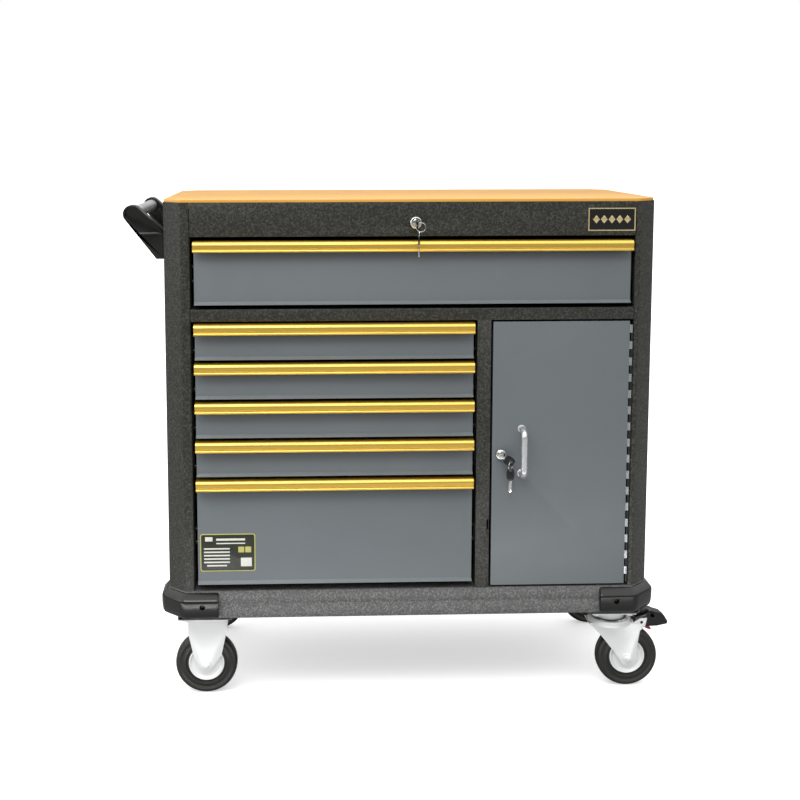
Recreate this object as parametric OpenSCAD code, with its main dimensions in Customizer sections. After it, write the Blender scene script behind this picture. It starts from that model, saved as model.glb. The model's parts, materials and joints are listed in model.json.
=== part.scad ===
// Rolling tool chest: steel cabinet with six drawers, a cupboard and a board top.
// Millimetres, +Z up, the front faces -Y, the floor is z = 0.
// Inside the modules x = 0 is the cabinet's middle and y = 0 is the front plane of
// its corner columns; place() then moves the origin under the middle of the whole
// object, push handle and brake pedals included.

/* [Cabinet] */
// Width over the corner columns
body_w = 980; // [920:10:1100]
// Depth over the corner columns
body_d = 455; // [450:5:520]
// Height of the steel top edge above the floor
steel_top_z = 1020; // [1020:5:1060]
// Clear width of the cupboard
cupboard_w = 285; // [250:5:320]
// Sheet thickness of the cabinet
sheet = 1.5; // [1.2:0.1:2]

/* [Drawers] */
// Spacing of the four shallow drawers
drawer_pitch = 78.7; // [74:0.1:80]
// How far each drawer pulls out
drawer_travel = 360; // [200:10:370]
// Height of the gold pull profile
pull_h = 22; // [20:1:24]

/* [Casters and handle] */
// Diameter of the wheels
wheel_d = 127.5; // [115:0.5:128]
// How far a swivel wheel trails behind its kingpin
swivel_trail = 36; // [30:1:40]
// Distance of the push handle tube from the side
handle_reach = 63; // [60:1:90]
// Diameter of the push handle tube
handle_d = 25; // [22:1:28]

/* [Door] */
// Distance between the feet of the bow handle
bow_span = 91; // [80:1:110]
// How far the bow handle stands off the door
bow_reach = 38; // [35:1:50]

/* [Hidden] */
$fn = 48;
DRAWERS = [1, 2, 3, 4, 5, 6];

// Colours
charcoal = [0.13, 0.13, 0.12];
slate = [0.43, 0.45, 0.46];
gold = [0.86, 0.66, 0.22];
board = [0.95, 0.77, 0.42];
zinc = [0.85, 0.86, 0.87];
black = [0.08, 0.08, 0.08];
rubber = [0.11, 0.11, 0.11];

// Corner columns: front face, chamfer and the opening between them
chamfer_x = 36;
chamfer_y = 34;
column_left_w = 54;
column_right_w = 45.5;
column_return = 24;
half_w = body_w / 2;
open_left = half_w - column_left_w;
open_right = half_w - column_right_w;

// Heights
base_z = 178.5;
base_h = 56.5;
base_top_z = base_z + base_h;
fascia_h = 67.5;
fascia_z = steel_top_z - fascia_h;
deck_h = 24;
deck_top_z = fascia_z - 143.5;
deck_z = deck_top_z - deck_h;
board_recess = 12.5;
board_proud = 6;
top_pan_z = steel_top_z - board_recess - sheet;

// Centre post and the two banks
post_w = 27.3;
post_right_x = open_right - cupboard_w;
post_left_x = post_right_x - post_w;
bank_x = (post_left_x - open_left) / 2;
bank_half = (post_left_x + open_left) / 2;

// Cupboard shelf and back wall
shelf_z = 600;
back_sheet = 1.2;
rear_flange_x = half_w - 60;
inner_back_y = body_d - sheet - back_sheet;

// Drawer numbers: 1 is the full-width drawer, 2 to 5 are shallow, 6 is deep
function pull_top(n) = n == 1 ? fascia_z - 8 : deck_z - 4 - (n - 2) * drawer_pitch;
function lip_z(n) =
    n == 1 ? deck_top_z + 9
    : n == 6 ? base_top_z + 15
    : pull_top(n) - drawer_pitch + 6.2;
function half_open(n) = n == 1 ? (open_left + open_right) / 2 : bank_half;
function drawer_x(n) = n == 1 ? (open_right - open_left) / 2 : bank_x;
function slide_z(n) = lip_z(n) + (n == 1 ? 60 : n == 6 ? 95 : 30);

// Drawer bodies
face_gap = 7.5;
pull_gap = 6.4;
face_y = 3;
tray_sheet = 1.2;
tray_front_y = 16;
tray_back_y = 424;
tray_floor_rise = 8;
tray_top_drop = 16;

// Three-member slides: u runs from the cabinet wall towards the drawer
slide_t = 12.7;
slide_h = 36;
slide_y0 = 22;
slide_len = 400;
slide_sheet = 1.2;

// Push handle
bracket_r = 18;
bracket_t = 28;
bracket_y = 46;
foot_w = 16;
handle_z = steel_top_z - 25;
handle_x = -half_w - handle_reach;

// Bumpers
bumper_t = 16;
bumper_arm_x = 102;
bumper_arm_y = 90;
bumper_z0 = 182;
bumper_z1 = 220;
bumper_z2 = 232;
bumper_screw_z = 207;
bumper_screw_x = half_w - 70;
bumper_screw_y = 62;

// Casters
wheel_r = wheel_d / 2;
axle_z = wheel_r;
axle_r = 6;
run_gap = 0.06;
caster_y = 60;
caster_plate_z = 165;
caster_plate_t = 3;
caster_left_x = -half_w + 72;
kingpin_x = half_w - 65;
axle_x = kingpin_x + swivel_trail;
hub_r = 37;
leg_y = 19;
leg_t = 3;
fork_z = 137;
beam_z = caster_plate_z + caster_plate_t;
beam_w = 110;
beam_y0 = 16;
pedal_tip = 86;
pedal_pin_x = 27;
pedal_pin_z = 140;
pedal_pin_r = 3;

// Locks and keys
lock_r = 9.5;
plug_r = 6;
top_lock_x = 8;
top_lock_z = fascia_z + 26.5;
door_lock_x = post_right_x + 22;
door_lock_z = 512;
spare_x = 17;
spare_drop = 12;
ring_r = 9;
ring_wire = 0.8;
key_hole_r = 3.2;

// Door and hinge
hinge_x = open_right - 3.2;
knuckle_r = 2.1;
hinge_pin_r = 1;
hinge_pitch = 33.2;
hinge_pairs = 16;
hinge_z0 = base_top_z + 8;
leaf_t = 1;
leaf_gap = 2.2;
door_x0 = post_right_x + 4.6;
door_x1 = hinge_x - 4.1;
door_z0 = base_top_z + 5;
door_z1 = deck_z - 4;
door_t = 18;
bow_r = 6.3;
bow_x = post_right_x + 64;
bow_z = 518;
bow_bend = 14;

// Whole extents, used to centre the part over its origin
x_min = handle_x - bracket_r;
x_max = axle_x + pedal_tip;
y_min = -bow_reach;
y_max = body_d + bumper_t;

module place() {
    translate([-(x_max + x_min) / 2, -(y_max + y_min) / 2, 0])
        children();
}

// Mirrors a left-hand shape to the right-hand side
module mirrored() {
    mirror([1, 0, 0])
        children();
}

// Repeats a shape at the front and, turned about the middle depth, at the rear
module front_and_rear() {
    children();
    translate([0, body_d, 0])
        mirror([0, 1, 0])
            children();
}

// Extrudes an XZ outline from y0 to y1
module along_y(y0, y1) {
    translate([0, y1, 0])
        rotate([90, 0, 0])
            linear_extrude(y1 - y0)
                children();
}

// Extrudes a YZ outline from x0 to x1
module along_x(x0, x1) {
    translate([x0, 0, 0])
        rotate([90, 0, 90])
            linear_extrude(x1 - x0)
                children();
}

// A round bar along Y
module bar_y(r, y0, y1) {
    translate([0, y1, 0])
        rotate([90, 0, 0])
            cylinder(r = r, h = y1 - y0);
}

// Chamfered plan of the cabinet, moved outwards by k
function plan(k) =
    let (
        w = half_w + k,
        cx = chamfer_x + 0.59 * k,
        cy = chamfer_y + 0.59 * k,
        y0 = -k,
        y1 = body_d + k
    )
    [
        [-w + cx, y0], [w - cx, y0], [w, y0 + cy], [w, y1 - cy],
        [w - cx, y1], [-w + cx, y1], [-w, y1 - cy], [-w, y0 + cy]
    ];

// Plan of one side panel: return flange, column face, chamfer, side, rear chamfer, rear flange
function side_plan(t, column_w, e = 0.6 * sheet) = [
    [column_w - half_w, 0], [-half_w + chamfer_x, 0], [-half_w, chamfer_y],
    [-half_w, body_d - chamfer_y], [-half_w + chamfer_x, body_d],
    [-rear_flange_x, body_d], [-rear_flange_x, body_d - t],
    [-half_w + chamfer_x + e, body_d - t], [-half_w + t, body_d - chamfer_y - e],
    [-half_w + t, chamfer_y + e], [-half_w + chamfer_x + e, t],
    [column_w - half_w - t, t], [column_w - half_w - t, column_return],
    [column_w - half_w, column_return]
];

module side_panel(column_w) {
    difference() {
        translate([0, 0, base_top_z])
            linear_extrude(steel_top_z - base_top_z)
                polygon(side_plan(sheet, column_w));
        translate([column_w - half_w - 2 * sheet, sheet, top_pan_z])
            cube([3 * sheet, column_return, board_recess + 2 * sheet]);
    }
}

module side_panel_left() {
    color(charcoal)
        place()
            side_panel(column_left_w);
}

module side_panel_right() {
    color(charcoal)
        place()
            mirrored()
                side_panel(column_right_w);
}

// Back sheet with two pressed ribs, fixed inside the rear flanges
module back_panel() {
    rib_h = 40;
    color(charcoal)
        place() {
            translate([-rear_flange_x - 18, inner_back_y, base_top_z])
                cube([2 * (rear_flange_x + 18), back_sheet, steel_top_z - base_top_z - 36]);
            for (z = [base_top_z + 200, base_top_z + 480])
                translate([-rear_flange_x + 30, inner_back_y + back_sheet, z])
                    cube([2 * (rear_flange_x - 30), sheet, rib_h]);
        }
}

// Holes for the screws of all four bumpers, in the skirt of the base pan
module bumper_screw_axes(r, y0, y1) {
    for (side = [-1, 1])
        front_and_rear() {
            translate([side * bumper_screw_x, 0, bumper_screw_z])
                bar_y(r, y0, y1);
            translate([side * half_w, bumper_screw_y, bumper_screw_z])
                rotate([0, 0, -90 * side])
                    bar_y(r, y0, y1);
        }
}

// Deck with a skirt all round and an inward lip, and two beams that carry the casters
module base_pan() {
    lip = 18;
    wall = 2.5;
    color(charcoal)
        place()
            difference() {
                union() {
                    difference() {
                        translate([0, 0, base_z])
                            linear_extrude(base_h)
                                polygon(plan(0));
                        translate([0, 0, base_z + sheet])
                            linear_extrude(base_h - 2 * sheet)
                                polygon(plan(-sheet));
                        translate([0, 0, base_z - 1])
                            linear_extrude(base_h / 2)
                                polygon(plan(-lip));
                    }
                    intersection() {
                        translate([0, 0, beam_z - 1])
                            linear_extrude(base_h + 20)
                                polygon(plan(-sheet / 2));
                        for (x = [caster_left_x, kingpin_x])
                            difference() {
                                translate([x - beam_w / 2, beam_y0, beam_z])
                                    cube([beam_w, body_d - 2 * beam_y0, base_top_z - beam_z - sheet / 2]);
                                translate([x - beam_w / 2 + wall, 0, beam_z + wall])
                                    cube([beam_w - 2 * wall, body_d, base_top_z - sheet - beam_z - wall]);
                            }
                    }
                }
                bumper_screw_axes(2.5, -8, 8);
            }
}

// Tray under the board, with an apron that closes the back above the rear sheet
module top_pan() {
    color(charcoal)
        place() {
            translate([0, 0, top_pan_z])
                linear_extrude(sheet)
                    polygon(plan(-sheet - 0.3));
            translate([-rear_flange_x + 0.3, body_d - sheet, steel_top_z - 35])
                cube([2 * rear_flange_x - 0.6, sheet, 35]);
        }
}

// Board that lies in the steel rim and stands a little proud of it
module worktop() {
    edge = 1.5;
    inset = sheet + 0.5;
    color(board)
        place() {
            translate([0, 0, steel_top_z - board_recess])
                linear_extrude(board_recess + board_proud - edge)
                    polygon(plan(-inset));
            translate([0, 0, steel_top_z + board_proud - edge])
                linear_extrude(edge)
                    polygon(plan(-inset - 1));
        }
}

// Panel above the top drawer that carries the lock
module lock_fascia() {
    w = open_left + open_right;
    color(charcoal)
        place()
            difference() {
                union() {
                    translate([-open_left, 0, fascia_z])
                        cube([w, sheet, fascia_h]);
                    translate([-open_left, 0, fascia_z])
                        cube([w, column_return, sheet]);
                }
                translate([top_lock_x, 0, top_lock_z])
                    bar_y(lock_r, -1, sheet + 1);
            }
}

// Deck between the top drawer and the banks, with the rail that shows at the front
module middle_deck() {
    w = open_left + open_right;
    color(charcoal)
        place() {
            translate([-open_left, 0, deck_z])
                cube([w, sheet, deck_h]);
            translate([-open_left, 0, deck_top_z - sheet])
                cube([w, inner_back_y, sheet]);
            translate([-open_left, 0, deck_z])
                cube([w, 20, sheet]);
        }
}

// Folded divider: front face and two skins, with a slot for the door lock's cam
module center_post() {
    color(charcoal)
        place()
            difference() {
                translate([post_left_x, 0, base_top_z])
                    cube([post_w, inner_back_y, deck_z - base_top_z]);
                translate([post_left_x + sheet, sheet, base_top_z - 1])
                    cube([post_w - 2 * sheet, inner_back_y, deck_z - base_top_z + 2]);
                translate([post_right_x - 2 * sheet, 17, door_lock_z - 24])
                    cube([3 * sheet, 20, 48]);
                translate([post_right_x - 5, -1, 357])
                    cube([10, 2 * sheet, 20]);
            }
}

// Shelf of the cupboard, folded down at its front and rear
module cupboard_shelf() {
    x0 = post_right_x;
    x1 = half_w - sheet;
    y0 = column_return + 6;
    fold = 20;
    color(charcoal)
        place()
            intersection() {
                union() {
                    translate([x0, y0, shelf_z])
                        cube([x1 - x0, inner_back_y - y0, sheet]);
                    for (y = [y0, inner_back_y - sheet])
                        translate([x0, y, shelf_z - fold])
                            cube([x1 - x0, sheet, fold + sheet]);
                }
                translate([0, 0, shelf_z - 2 * fold])
                    linear_extrude(3 * fold)
                        polygon(plan(-sheet - 0.2));
            }
}

// Folded channels that hold the slides out from the side walls
module slide_uprights() {
    front_y = chamfer_y + 2;
    back_y = body_d - chamfer_y - 35;
    outer = half_w - sheet;
    color(zinc)
        place() {
            for (y = [front_y, back_y]) {
                upright(-1, y, base_top_z, steel_top_z - 20, outer);
                upright(1, y, deck_top_z, steel_top_z - 20, outer);
            }
        }
}

// One channel, open towards the side wall
module upright(side, y, z0, z1, outer) {
    w = outer - (side < 0 ? open_left : open_right);
    x = side < 0 ? -outer : open_right;
    web_x = side < 0 ? -open_left - sheet : open_right;
    for (edge = [y, y + 30 - sheet])
        translate([x, edge, z0])
            cube([w, sheet, z1 - z0]);
    translate([web_x, y, z0])
        cube([sheet, 30, z1 - z0]);
}

// C-section against the cabinet wall; the outline's x is the distance u from the wall
module outer_rail_outline() {
    h = slide_h / 2;
    difference() {
        translate([0, -h])
            square([9, slide_h]);
        translate([slide_sheet, -h + slide_sheet])
            square([9, slide_h - 2 * slide_sheet]);
    }
}

// Middle member: a web with flanges both ways
module middle_rail_outline() {
    h = 14.3;
    translate([5.8, -h])
        square([slide_sheet, 2 * h]);
    for (z = [-h, h - slide_sheet])
        translate([2.4, z])
            square([8, slide_sheet]);
}

// Inner member, formed onto the tray's side
module inner_rail_outline() {
    h = 10;
    translate([slide_t - slide_sheet, -h])
        square([slide_sheet + 0.1, 2 * h]);
    for (z = [-h, h - slide_sheet])
        translate([8.2, z])
            square([slide_t - 8.2, slide_sheet]);
}

// Places a slide outline on both walls of drawer n
module on_both_walls(n, y0, y1) {
    for (side = [0, 1])
        translate([drawer_x(n), 0, slide_z(n)])
            mirror([side, 0, 0])
                translate([-half_open(n), 0, 0])
                    along_y(y0, y1)
                        children();
}

module slide_outer_rails() {
    color(zinc)
        place()
            for (n = DRAWERS)
                on_both_walls(n, slide_y0, slide_y0 + slide_len)
                    outer_rail_outline();
}

module slide_middle(n) {
    color(zinc)
        place()
            on_both_walls(n, slide_y0 + 2, slide_y0 + slide_len - 18)
                middle_rail_outline();
}

// Steel tray with a hollow front, a turned-out lip and the inner slide members
module drawer_tray(n) {
    face = half_open(n) - face_gap;
    box = half_open(n) - slide_t;
    z0 = lip_z(n) + tray_floor_rise;
    z1 = pull_top(n) - tray_top_drop;
    face_top = pull_top(n) - 2.5;
    color(slate)
        place() {
            translate([drawer_x(n), 0, 0]) {
                translate([-face, face_y, lip_z(n) + 5])
                    cube([2 * face, tray_sheet, face_top - lip_z(n) - 5]);
                along_x(-face, face)
                    polygon([
                        [face_y + tray_sheet, lip_z(n) + 4.4], [face_y + tray_sheet, lip_z(n) + 6],
                        [face_y, lip_z(n) + 6], [-4, lip_z(n) + 1.4], [-4, lip_z(n)], [-2.6, lip_z(n)]
                    ]);
                for (x = [-face, face - tray_sheet])
                    translate([x, face_y, lip_z(n) + 5])
                        cube([tray_sheet, 15, face_top - lip_z(n) - 5]);
                translate([-face, face_y, lip_z(n) + 5])
                    cube([2 * face, tray_front_y - face_y + tray_sheet, tray_sheet]);
                translate([-box, tray_front_y, lip_z(n) + 5])
                    cube([2 * box, tray_sheet, face_top - lip_z(n) - 5]);
                difference() {
                    translate([-box, tray_front_y, z0])
                        cube([2 * box, tray_back_y - tray_front_y, z1 - z0]);
                    translate([-box + tray_sheet, tray_front_y + tray_sheet, z0 + tray_sheet])
                        cube([
                            2 * (box - tray_sheet),
                            tray_back_y - tray_front_y - 2 * tray_sheet, z1 - z0
                        ]);
                }
            }
            on_both_walls(n, slide_y0 - 4, slide_y0 + slide_len - 10)
                inner_rail_outline();
        }
}

// Pull profile: top flange, rounded band, groove, bead and a finger channel behind
function arc(cx, cz, r, a0, a1, steps) =
    [for (i = [0:steps]) let (a = a0 + (a1 - a0) * i / steps) [cx + r * cos(a), cz + r * sin(a)]];

module pull_outline() {
    band_r = 9;
    bead_r = 2.6;
    polygon(concat(
        [[tray_front_y, 0]],
        arc(-5, -band_r, band_r, 90, 180, 8),
        [[-13.4, -pull_h + 8.6], [-12.2, -pull_h + 7.4], [-12.2, -pull_h + 6]],
        arc(-11.8, -pull_h + bead_r, bead_r, 120, 300, 8),
        [[-9.6, -pull_h + 5], [-10.6, -pull_h + 9], [-11.2, -band_r]],
        arc(-5, -band_r, 6.2, 180, 90, 6),
        [[face_y - 2.2, -2.8], [face_y - 2.2, -17], [face_y, -17], [face_y, -2.2], [tray_front_y, -2.2]]
    ));
}

module drawer_pull(n) {
    half = half_open(n) - pull_gap;
    color(gold)
        place()
            translate([drawer_x(n), 0, pull_top(n)])
                along_x(-half, half)
                    pull_outline();
}

// Plate with a raised frame and a plain row of lozenges
module badge_plate() {
    w = 94;
    h = 45.5;
    rim = 2.2;
    x0 = open_right - 1.5 - w;
    z0 = fascia_z + 9;
    color(black)
        place() {
            translate([x0, -1, z0])
                cube([w, 1, h]);
            difference() {
                translate([x0, -1.8, z0])
                    cube([w, 1, h]);
                translate([x0 + rim, -2.5, z0 + rim])
                    cube([w - 2 * rim, 3, h - 2 * rim]);
            }
            for (i = [-2:2])
                translate([x0 + w / 2 + i * 15, -0.9, z0 + h / 2])
                    rotate([90, 45, 0])
                        translate([-4.6, -4.6, 0])
                            cube([9.2, 9.2, 0.8]);
        }
}

// Outline of a handle bracket: a round end on a wedge-shaped foot, flat below
module bracket_outline(r, x_foot, w_foot, z0, z1) {
    hull() {
        translate([handle_x, handle_z])
            circle(r = r);
        polygon([[x_foot - w_foot, z0], [x_foot, z0], [x_foot, z1]]);
    }
}

// One bracket, its outer face recessed above the foot, with a blind bore for the tube
module handle_bracket() {
    foot_z0 = handle_z - 89.5;
    foot_z1 = handle_z - 33;
    rim = 5.5;
    difference() {
        along_y(bracket_y, bracket_y + bracket_t)
            bracket_outline(bracket_r, -half_w, foot_w, foot_z0, foot_z1);
        intersection() {
            along_y(bracket_y - 1, bracket_y + 6)
                bracket_outline(bracket_r - rim, -half_w - rim, foot_w, foot_z0, foot_z1 - rim);
            translate([-half_w - 200, 0, handle_z - 38])
                cube([200, 200, 100]);
        }
        translate([handle_x, 0, handle_z])
            bar_y(handle_d / 2, bracket_y + 12, bracket_y + bracket_t + 1);
    }
}

module handle_brackets() {
    color(black)
        place()
            front_and_rear()
                handle_bracket();
}

module handle_tube() {
    y0 = bracket_y + 12;
    y1 = body_d - y0;
    color(zinc)
        place()
            translate([handle_x, 0, handle_z])
                difference() {
                    bar_y(handle_d / 2, y0, y1);
                    bar_y(handle_d / 2 - 1.5, y0 - 1, y1 + 1);
                }
}

// One bumper layer: the corner of the outset plan, cut to the bumper's arms
module bumper_layer(k, arm, z, t) {
    translate([0, 0, z])
        linear_extrude(t)
            intersection() {
                polygon(plan(k));
                translate([-half_w - 40, -40])
                    square([40 + bumper_arm_x - arm, 40 + bumper_arm_y - arm]);
            }
}

// Corner bumper with a leaning skirt, a bevelled top and two sunk screw seats
module corner_bumper() {
    difference() {
        hull() {
            bumper_layer(bumper_t - 6, 2, bumper_z0, 0.5);
            bumper_layer(bumper_t - 2, 0, bumper_z0 + 6, 0.5);
            bumper_layer(bumper_t, 0, bumper_z1 - 6, 6);
            bumper_layer(1.5, 6, bumper_z2 - 0.5, 0.5);
        }
        translate([0, 0, bumper_z0 - 1])
            linear_extrude(bumper_z2)
                polygon(plan(0));
        translate([-bumper_screw_x, 0, bumper_screw_z])
            bar_y(2.6, -bumper_t - 1, 1);
        translate([-bumper_screw_x, 0, bumper_screw_z])
            bar_y(5.5, -bumper_t - 1, -6);
        translate([-half_w, bumper_screw_y, bumper_screw_z])
            rotate([0, 0, 90])
                bar_y(2.6, -1, bumper_t + 1);
        translate([-half_w, bumper_screw_y, bumper_screw_z])
            rotate([0, 0, 90])
                bar_y(5.5, 6, bumper_t + 1);
    }
}

module corner_bumpers() {
    color(black)
        place()
            for (side = [0, 1])
                mirror([side, 0, 0])
                    front_and_rear()
                        corner_bumper();
}

// Pan-head screws in the seats of the bumpers
module bumper_screws() {
    color(zinc)
        place()
            for (side = [0, 1])
                mirror([side, 0, 0])
                    front_and_rear() {
                        translate([-bumper_screw_x, 0, bumper_screw_z])
                            bumper_screw();
                        translate([-half_w, bumper_screw_y, bumper_screw_z])
                            rotate([0, 0, -90])
                                bumper_screw();
                    }
}

module bumper_screw() {
    bar_y(2.4, -6, 6);
    bar_y(4.8, -9, -6);
}

// One fork leg pair from an XZ outline centred on the caster
module leg_pair() {
    for (y = [-leg_y - leg_t, leg_y])
        along_y(y, y + leg_t)
            children();
}

// Axle bolt with hexagon head and nut
module axle_bolt() {
    out = leg_y + leg_t;
    head = 5;
    bar_y(axle_r, -out, out);
    for (y = [-out, out + head])
        translate([0, y, 0])
            rotate([90, 0, 0])
                cylinder(r = 9.5, h = head, $fn = 6);
}

// Mounting plate with its four bolt heads, centred on the caster
module caster_plate() {
    translate([-46, -42, caster_plate_z])
        cube([92, 84, caster_plate_t]);
    for (x = [-35, 35])
        for (y = [-31, 31])
            translate([x, y, caster_plate_z - 4.5])
                cylinder(r = 7, h = 4.6, $fn = 6);
}

module rigid_leg_outline() {
    polygon([
        [-36.5, caster_plate_z], [-36, axle_z + 66], [-25, axle_z + 17], [-13.4, axle_z - 4],
        [13.4, axle_z - 4], [31.5, axle_z + 19], [44, axle_z + 76], [45, caster_plate_z]
    ]);
    translate([0, axle_z])
        circle(r = 14);
}

module rigid_fork() {
    caster_plate();
    translate([-36, -leg_y - leg_t, caster_plate_z - leg_t])
        cube([80, 2 * (leg_y + leg_t), leg_t]);
    leg_pair()
        rigid_leg_outline();
    translate([0, 0, axle_z])
        axle_bolt();
}

module rigid_forks() {
    color(zinc)
        place()
            for (y = [caster_y, body_d - caster_y])
                translate([caster_left_x, y, 0])
                    rigid_fork();
}

// Fixed half of a swivel caster: plate, bearing cup and kingpin with its nut
module swivel_top_plate() {
    caster_plate();
    translate([0, 0, fork_z + 13])
        cylinder(r1 = 30, r2 = 34, h = caster_plate_z - fork_z - 13);
    translate([0, 0, fork_z - 8])
        cylinder(r = axle_r, h = 30);
    translate([0, 0, fork_z - 8])
        cylinder(r = 10, h = 7.5);
}

module swivel_top_plates() {
    color(zinc)
        place()
            for (y = [caster_y, body_d - caster_y])
                translate([kingpin_x, y, 0])
                    swivel_top_plate();
}

// Slanted leg with an ear for the brake pedal, relative to the axle's x
module swivel_leg_outline() {
    difference() {
        union() {
            polygon([
                [-84, fork_z + leg_t], [-59, 115], [-30, 78], [-14, axle_z - 8],
                [15, axle_z - 8], [19, 92], [24, 122], [pedal_pin_x + 8, 132],
                [pedal_pin_x + 11, 149], [pedal_pin_x - 3, 149], [10, fork_z + leg_t]
            ]);
            translate([0, axle_z])
                circle(r = 17);
        }
        translate([pedal_pin_x, pedal_pin_z])
            circle(r = pedal_pin_r + run_gap);
    }
}

// Turning half of a swivel caster: bearing dish, bridge, legs and axle bolt
module swivel_fork(y) {
    color(zinc)
        place() {
            translate([kingpin_x, y, 0])
                difference() {
                    union() {
                        translate([0, 0, fork_z])
                            cylinder(r = 45, h = 5);
                        translate([0, 0, fork_z + 5])
                            difference() {
                                cylinder(r1 = 45, r2 = 42, h = 6);
                                translate([0, 0, -1])
                                    cylinder(r = 37, h = 8);
                            }
                        translate([-46, -leg_y - leg_t, fork_z])
                            cube([swivel_trail + 54, 2 * (leg_y + leg_t), leg_t]);
                    }
                    translate([0, 0, fork_z - 1])
                        cylinder(r = axle_r + run_gap, h = 20);
                }
            translate([axle_x, y, 0]) {
                leg_pair()
                    swivel_leg_outline();
                translate([0, 0, axle_z])
                    axle_bolt();
            }
        }
}

// Foot pedal of the brake, with its pin in the ears of the fork
module brake_pedal(y) {
    color(black)
        place()
            translate([axle_x, y, 0]) {
                along_y(-leg_y + 1.5, leg_y - 1.5)
                    pedal_outline();
                intersection() {
                    along_y(-leg_y - leg_t, leg_y + leg_t)
                        pedal_outline();
                    translate([pedal_pin_x + 14, -40, 0])
                        cube([80, 80, 200]);
                }
                translate([pedal_pin_x, 0, pedal_pin_z])
                    bar_y(pedal_pin_r, -leg_y - leg_t - 0.5, leg_y + leg_t + 0.5);
            }
}

module pedal_outline() {
    difference() {
        polygon([
            [14, 145], [17, 151], [34, 156], [43, 162], [50, 162.5], [58, 159],
            [70, 156], [79, 148], [pedal_tip, 136], [84, 131], [62, 128], [22, 129], [15, 135]
        ]);
        polygon([[43, 149], [54, 149], [51, 156], [46, 157]]);
    }
}

// Disc hub with a boss, turning on its axle
module hub(x, y) {
    bore = axle_r + run_gap;
    boss = leg_y - 0.8;
    color(zinc)
        place()
            translate([x, y, axle_z])
                rotate([90, 0, 0])
                    rotate_extrude($fn = 72)
                        polygon([
                            [bore, -boss], [12, -boss], [13, -12], [29, -10.5], [33, -14], [hub_r, -14],
                            [hub_r, 14], [33, 14], [29, 10.5], [13, 12], [12, boss], [bore, boss]
                        ]);
}

// Tyre section: a groove round the hub, a flat side and a full crown
function tyre_section(w = 16, inner = 42) = concat(
    [[hub_r, -13], [inner - 1, -12.2], [inner, -14.6]],
    [for (i = [0:14]) let (a = -90 + 180 * i / 14) [
        wheel_r - 14 + 14 * pow(max(cos(a), 0), 0.7),
        w * (a < 0 ? -1 : 1) * pow(abs(sin(a)), 0.7)
    ]],
    [[inner, 14.6], [inner - 1, 12.2], [hub_r, 13]]
);

module tyre(x, y) {
    color(rubber)
        place()
            translate([x, y, axle_z])
                rotate([90, 0, 0])
                    rotate_extrude($fn = 72)
                        polygon(tyre_section());
}

// Lock housing: a flange in front of the sheet and a bored body behind it
module lock_barrel(x, z, flange_r) {
    color(zinc)
        place()
            translate([x, 0, z])
                difference() {
                    union() {
                        bar_y(flange_r, -7, 0);
                        bar_y(lock_r, -1, 24);
                    }
                    bar_y(plug_r + run_gap, -8, 25);
                }
}

// Turning plug with its cam behind the sheet, turned by a from +X and reaching out this far
module lock_plug(x, z, a, reach) {
    color(zinc)
        place()
            translate([x, 0, z]) {
                bar_y(plug_r, -8, 26);
                rotate([0, a, 0])
                    translate([-plug_r, 26, -plug_r])
                        cube([plug_r + reach, 2.5, 2 * plug_r]);
            }
}

module top_lock_barrel() {
    lock_barrel(top_lock_x, top_lock_z, 12.5);
}

module top_lock_plug() {
    lock_plug(top_lock_x, top_lock_z, 0, 43);
}

// Key in the top lock, seen edge on
module top_key() {
    color(zinc)
        place()
            translate([top_lock_x, 0, top_lock_z]) {
                translate([-1.2, -15, -3.5])
                    cube([2.4, 7, 7]);
                difference() {
                    translate([-1.2, -36, -11])
                        cube([2.4, 21, 22]);
                    translate([-2, -31, 0])
                        rotate([0, 90, 0])
                            cylinder(r = 4, h = 4);
                }
            }
}

// Knuckles of one leaf, every second one along the pin, each with its tab
module knuckles(first, bored) {
    length = hinge_pitch / 2 - 0.5;
    for (i = [0:hinge_pairs - 1])
        translate([hinge_x, 0, hinge_z0 + i * hinge_pitch + first * hinge_pitch / 2])
            difference() {
                union() {
                    cylinder(r = knuckle_r, h = length, $fn = 24);
                    mirror([first, 0, 0])
                        knuckle_tab(first == 0 ? leaf_gap : hinge_x - door_x1 - leaf_t, length);
                }
                if (bored)
                    translate([0, 0, -1])
                        cylinder(r = hinge_pin_r + run_gap, h = length + 2, $fn = 24);
            }
}

// Tab that runs off a knuckle and turns back along its leaf, whose inner face is at x
module knuckle_tab(x, length) {
    tab_t = 1.2;
    translate([knuckle_r - 0.7, -tab_t / 2, 0])
        cube([x + leaf_t - knuckle_r + 0.7, tab_t, length]);
    translate([x, -tab_t / 2, 0])
        cube([leaf_t, 5, length]);
}

// Frame leaf, with the pin that runs the length of the hinge
module hinge_frame_leaf() {
    color(zinc)
        place() {
            translate([hinge_x + leaf_gap, 4, hinge_z0])
                cube([leaf_t, column_return - 4, hinge_pairs * hinge_pitch - 0.5]);
            knuckles(0, false);
            translate([hinge_x, 0, hinge_z0])
                cylinder(r = hinge_pin_r, h = hinge_pairs * hinge_pitch - 0.5, $fn = 24);
        }
}

module hinge_door_leaf() {
    color(zinc)
        place() {
            translate([door_x1, 4, hinge_z0])
                cube([leaf_t, door_t - 4, hinge_pairs * hinge_pitch - 0.5]);
            knuckles(1, true);
        }
}

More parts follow.
